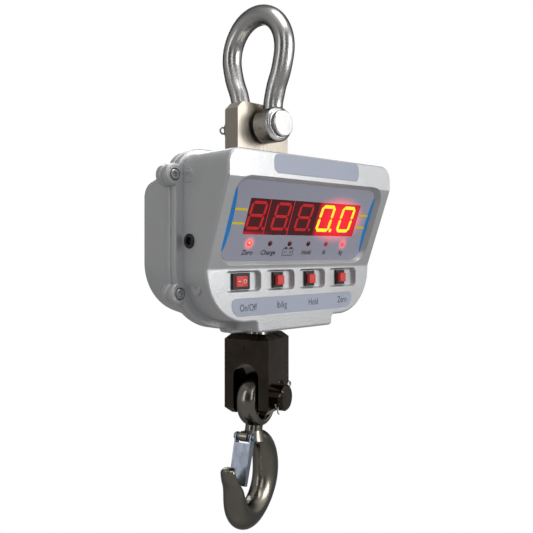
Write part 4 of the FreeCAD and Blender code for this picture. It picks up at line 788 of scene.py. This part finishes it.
def world():
    """White to the camera; a soft studio with darker sides in reflections."""
    scene_world = bpy.data.worlds.new("studio")
    bpy.context.scene.world = scene_world
    scene_world.use_nodes = True
    tree = scene_world.node_tree
    tree.nodes.clear()
    g = Graph(tree)
    out = g.add("ShaderNodeOutputWorld")
    rays = g.add("ShaderNodeLightPath")
    direction = g.add("ShaderNodeTexCoord").outputs["Generated"]
    split = g.add("ShaderNodeSeparateXYZ")
    g.link(direction, split.inputs[0])
    along_x = g.math("MULTIPLY", split.outputs["X"], math.cos(CAMERA_TURN))
    along_y = g.math("MULTIPLY", split.outputs["Y"], math.sin(CAMERA_TURN))
    across = g.math("SUBTRACT", along_x, along_y)
    right = g.span(across, 0.05, 0.66, 0.45, 0.95, smooth=True)
    left = g.span(across, 0.24, 0.0, -0.97, -0.70, smooth=True)
    top = g.span(split.outputs["Z"], 0.0, 0.42, 0.35, 0.85, smooth=True)
    glossy = g.add("ShaderNodeBackground")
    g.link(g.math("ADD", g.math("ADD", right, left), top), glossy.inputs["Strength"])
    ambient = g.add("ShaderNodeBackground")
    ambient.inputs["Strength"].default_value = 0.27
    white = g.add("ShaderNodeBackground")
    white.inputs["Strength"].default_value = 1.0
    for shader in (glossy, ambient, white):
        shader.inputs["Color"].default_value = (1, 1, 1, 1)
    first = g.add("ShaderNodeMixShader")
    g.link(rays.outputs["Is Glossy Ray"], first.inputs[0])
    g.link(ambient.outputs[0], first.inputs[1])
    g.link(glossy.outputs[0], first.inputs[2])
    second = g.add("ShaderNodeMixShader")
    g.link(rays.outputs["Is Camera Ray"], second.inputs[0])
    g.link(first.outputs[0], second.inputs[1])
    g.link(white.outputs[0], second.inputs[2])
    g.link(second.outputs[0], out.inputs["Surface"])


def floor_material(height):
    """Pale floor that fades to white away from the object."""
    material = new_material("floor_pale")
    g = Graph(material.node_tree)
    out = g.add("ShaderNodeOutputMaterial")
    matt = g.add("ShaderNodeBsdfDiffuse")
    speck = g.span(g.noise(30.0), 0, 1, 0.3, 0.7)
    g.link(g.mix(speck, (0.86, 0.86, 0.86), (0.90, 0.90, 0.90)), matt.inputs["Color"])
    light = g.add("ShaderNodeEmission")
    rays = g.add("ShaderNodeLightPath")
    g.link(g.span(rays.outputs["Is Camera Ray"], 0.25, 1.0), light.inputs["Strength"])
    fade = g.span(g.distance((0, 0, height)), 0.75, 1.0, *FLOOR_FADE, smooth=True)
    blend = g.add("ShaderNodeMixShader")
    g.link(fade, blend.inputs[0])
    g.link(matt.outputs[0], blend.inputs[1])
    g.link(light.outputs[0], blend.inputs[2])
    g.link(blend.outputs[0], out.inputs["Surface"])
    return material


def studio_floor():
    height = START_BOUNDS[0].z - FLOOR_DROP
    bm = bmesh.new()
    bmesh.ops.create_grid(bm, x_segments=8, y_segments=8, size=FLOOR_HALF)
    mesh = bpy.data.meshes.new("studio_floor")
    bm.to_mesh(mesh)
    bm.free()
    item = bpy.data.objects.new("studio_floor", mesh)
    item.location.z = height
    bpy.context.scene.collection.objects.link(item)
    mesh.materials.append(floor_material(height))


def softbox(name, place, aim, width, height, power):
    """Rectangular soft light at a place, turned to shine at a point."""
    light = bpy.data.lights.new(name, "AREA")
    light.shape = "RECTANGLE"
    light.size = width
    light.size_y = height
    light.energy = power
    item = bpy.data.objects.new(name, light)
    item.location = place
    item.rotation_euler = (Vector(aim) - Vector(place)).to_track_quat("-Z", "Y").to_euler()
    bpy.context.scene.collection.objects.link(item)


def lights():
    heart = (START_BOUNDS[0] + START_BOUNDS[1]) / 2
    for name, place, width, height, power in SOFTBOXES:
        softbox(name, place, heart, width, height, power)


def camera():
    data = bpy.data.cameras.new("main_camera")
    data.lens = CAMERA_LENS
    data.shift_y = CAMERA_SHIFT_Y
    data.clip_start = 0.01
    item = bpy.data.objects.new("main_camera", data)
    item.location = CAMERA_PLACE
    ahead = Vector((math.sin(CAMERA_TURN), math.cos(CAMERA_TURN), 0))
    item.rotation_euler = ahead.to_track_quat("-Z", "Y").to_euler()
    bpy.context.scene.collection.objects.link(item)
    bpy.context.scene.camera = item


paint_nodes()
film_bands()
film_ticks()
led_digits()
lamps()
captions()
switch_words()
rocker_marks()
world()
studio_floor()
lights()
camera()
bpy.context.scene.view_settings.view_transform = "Standard"
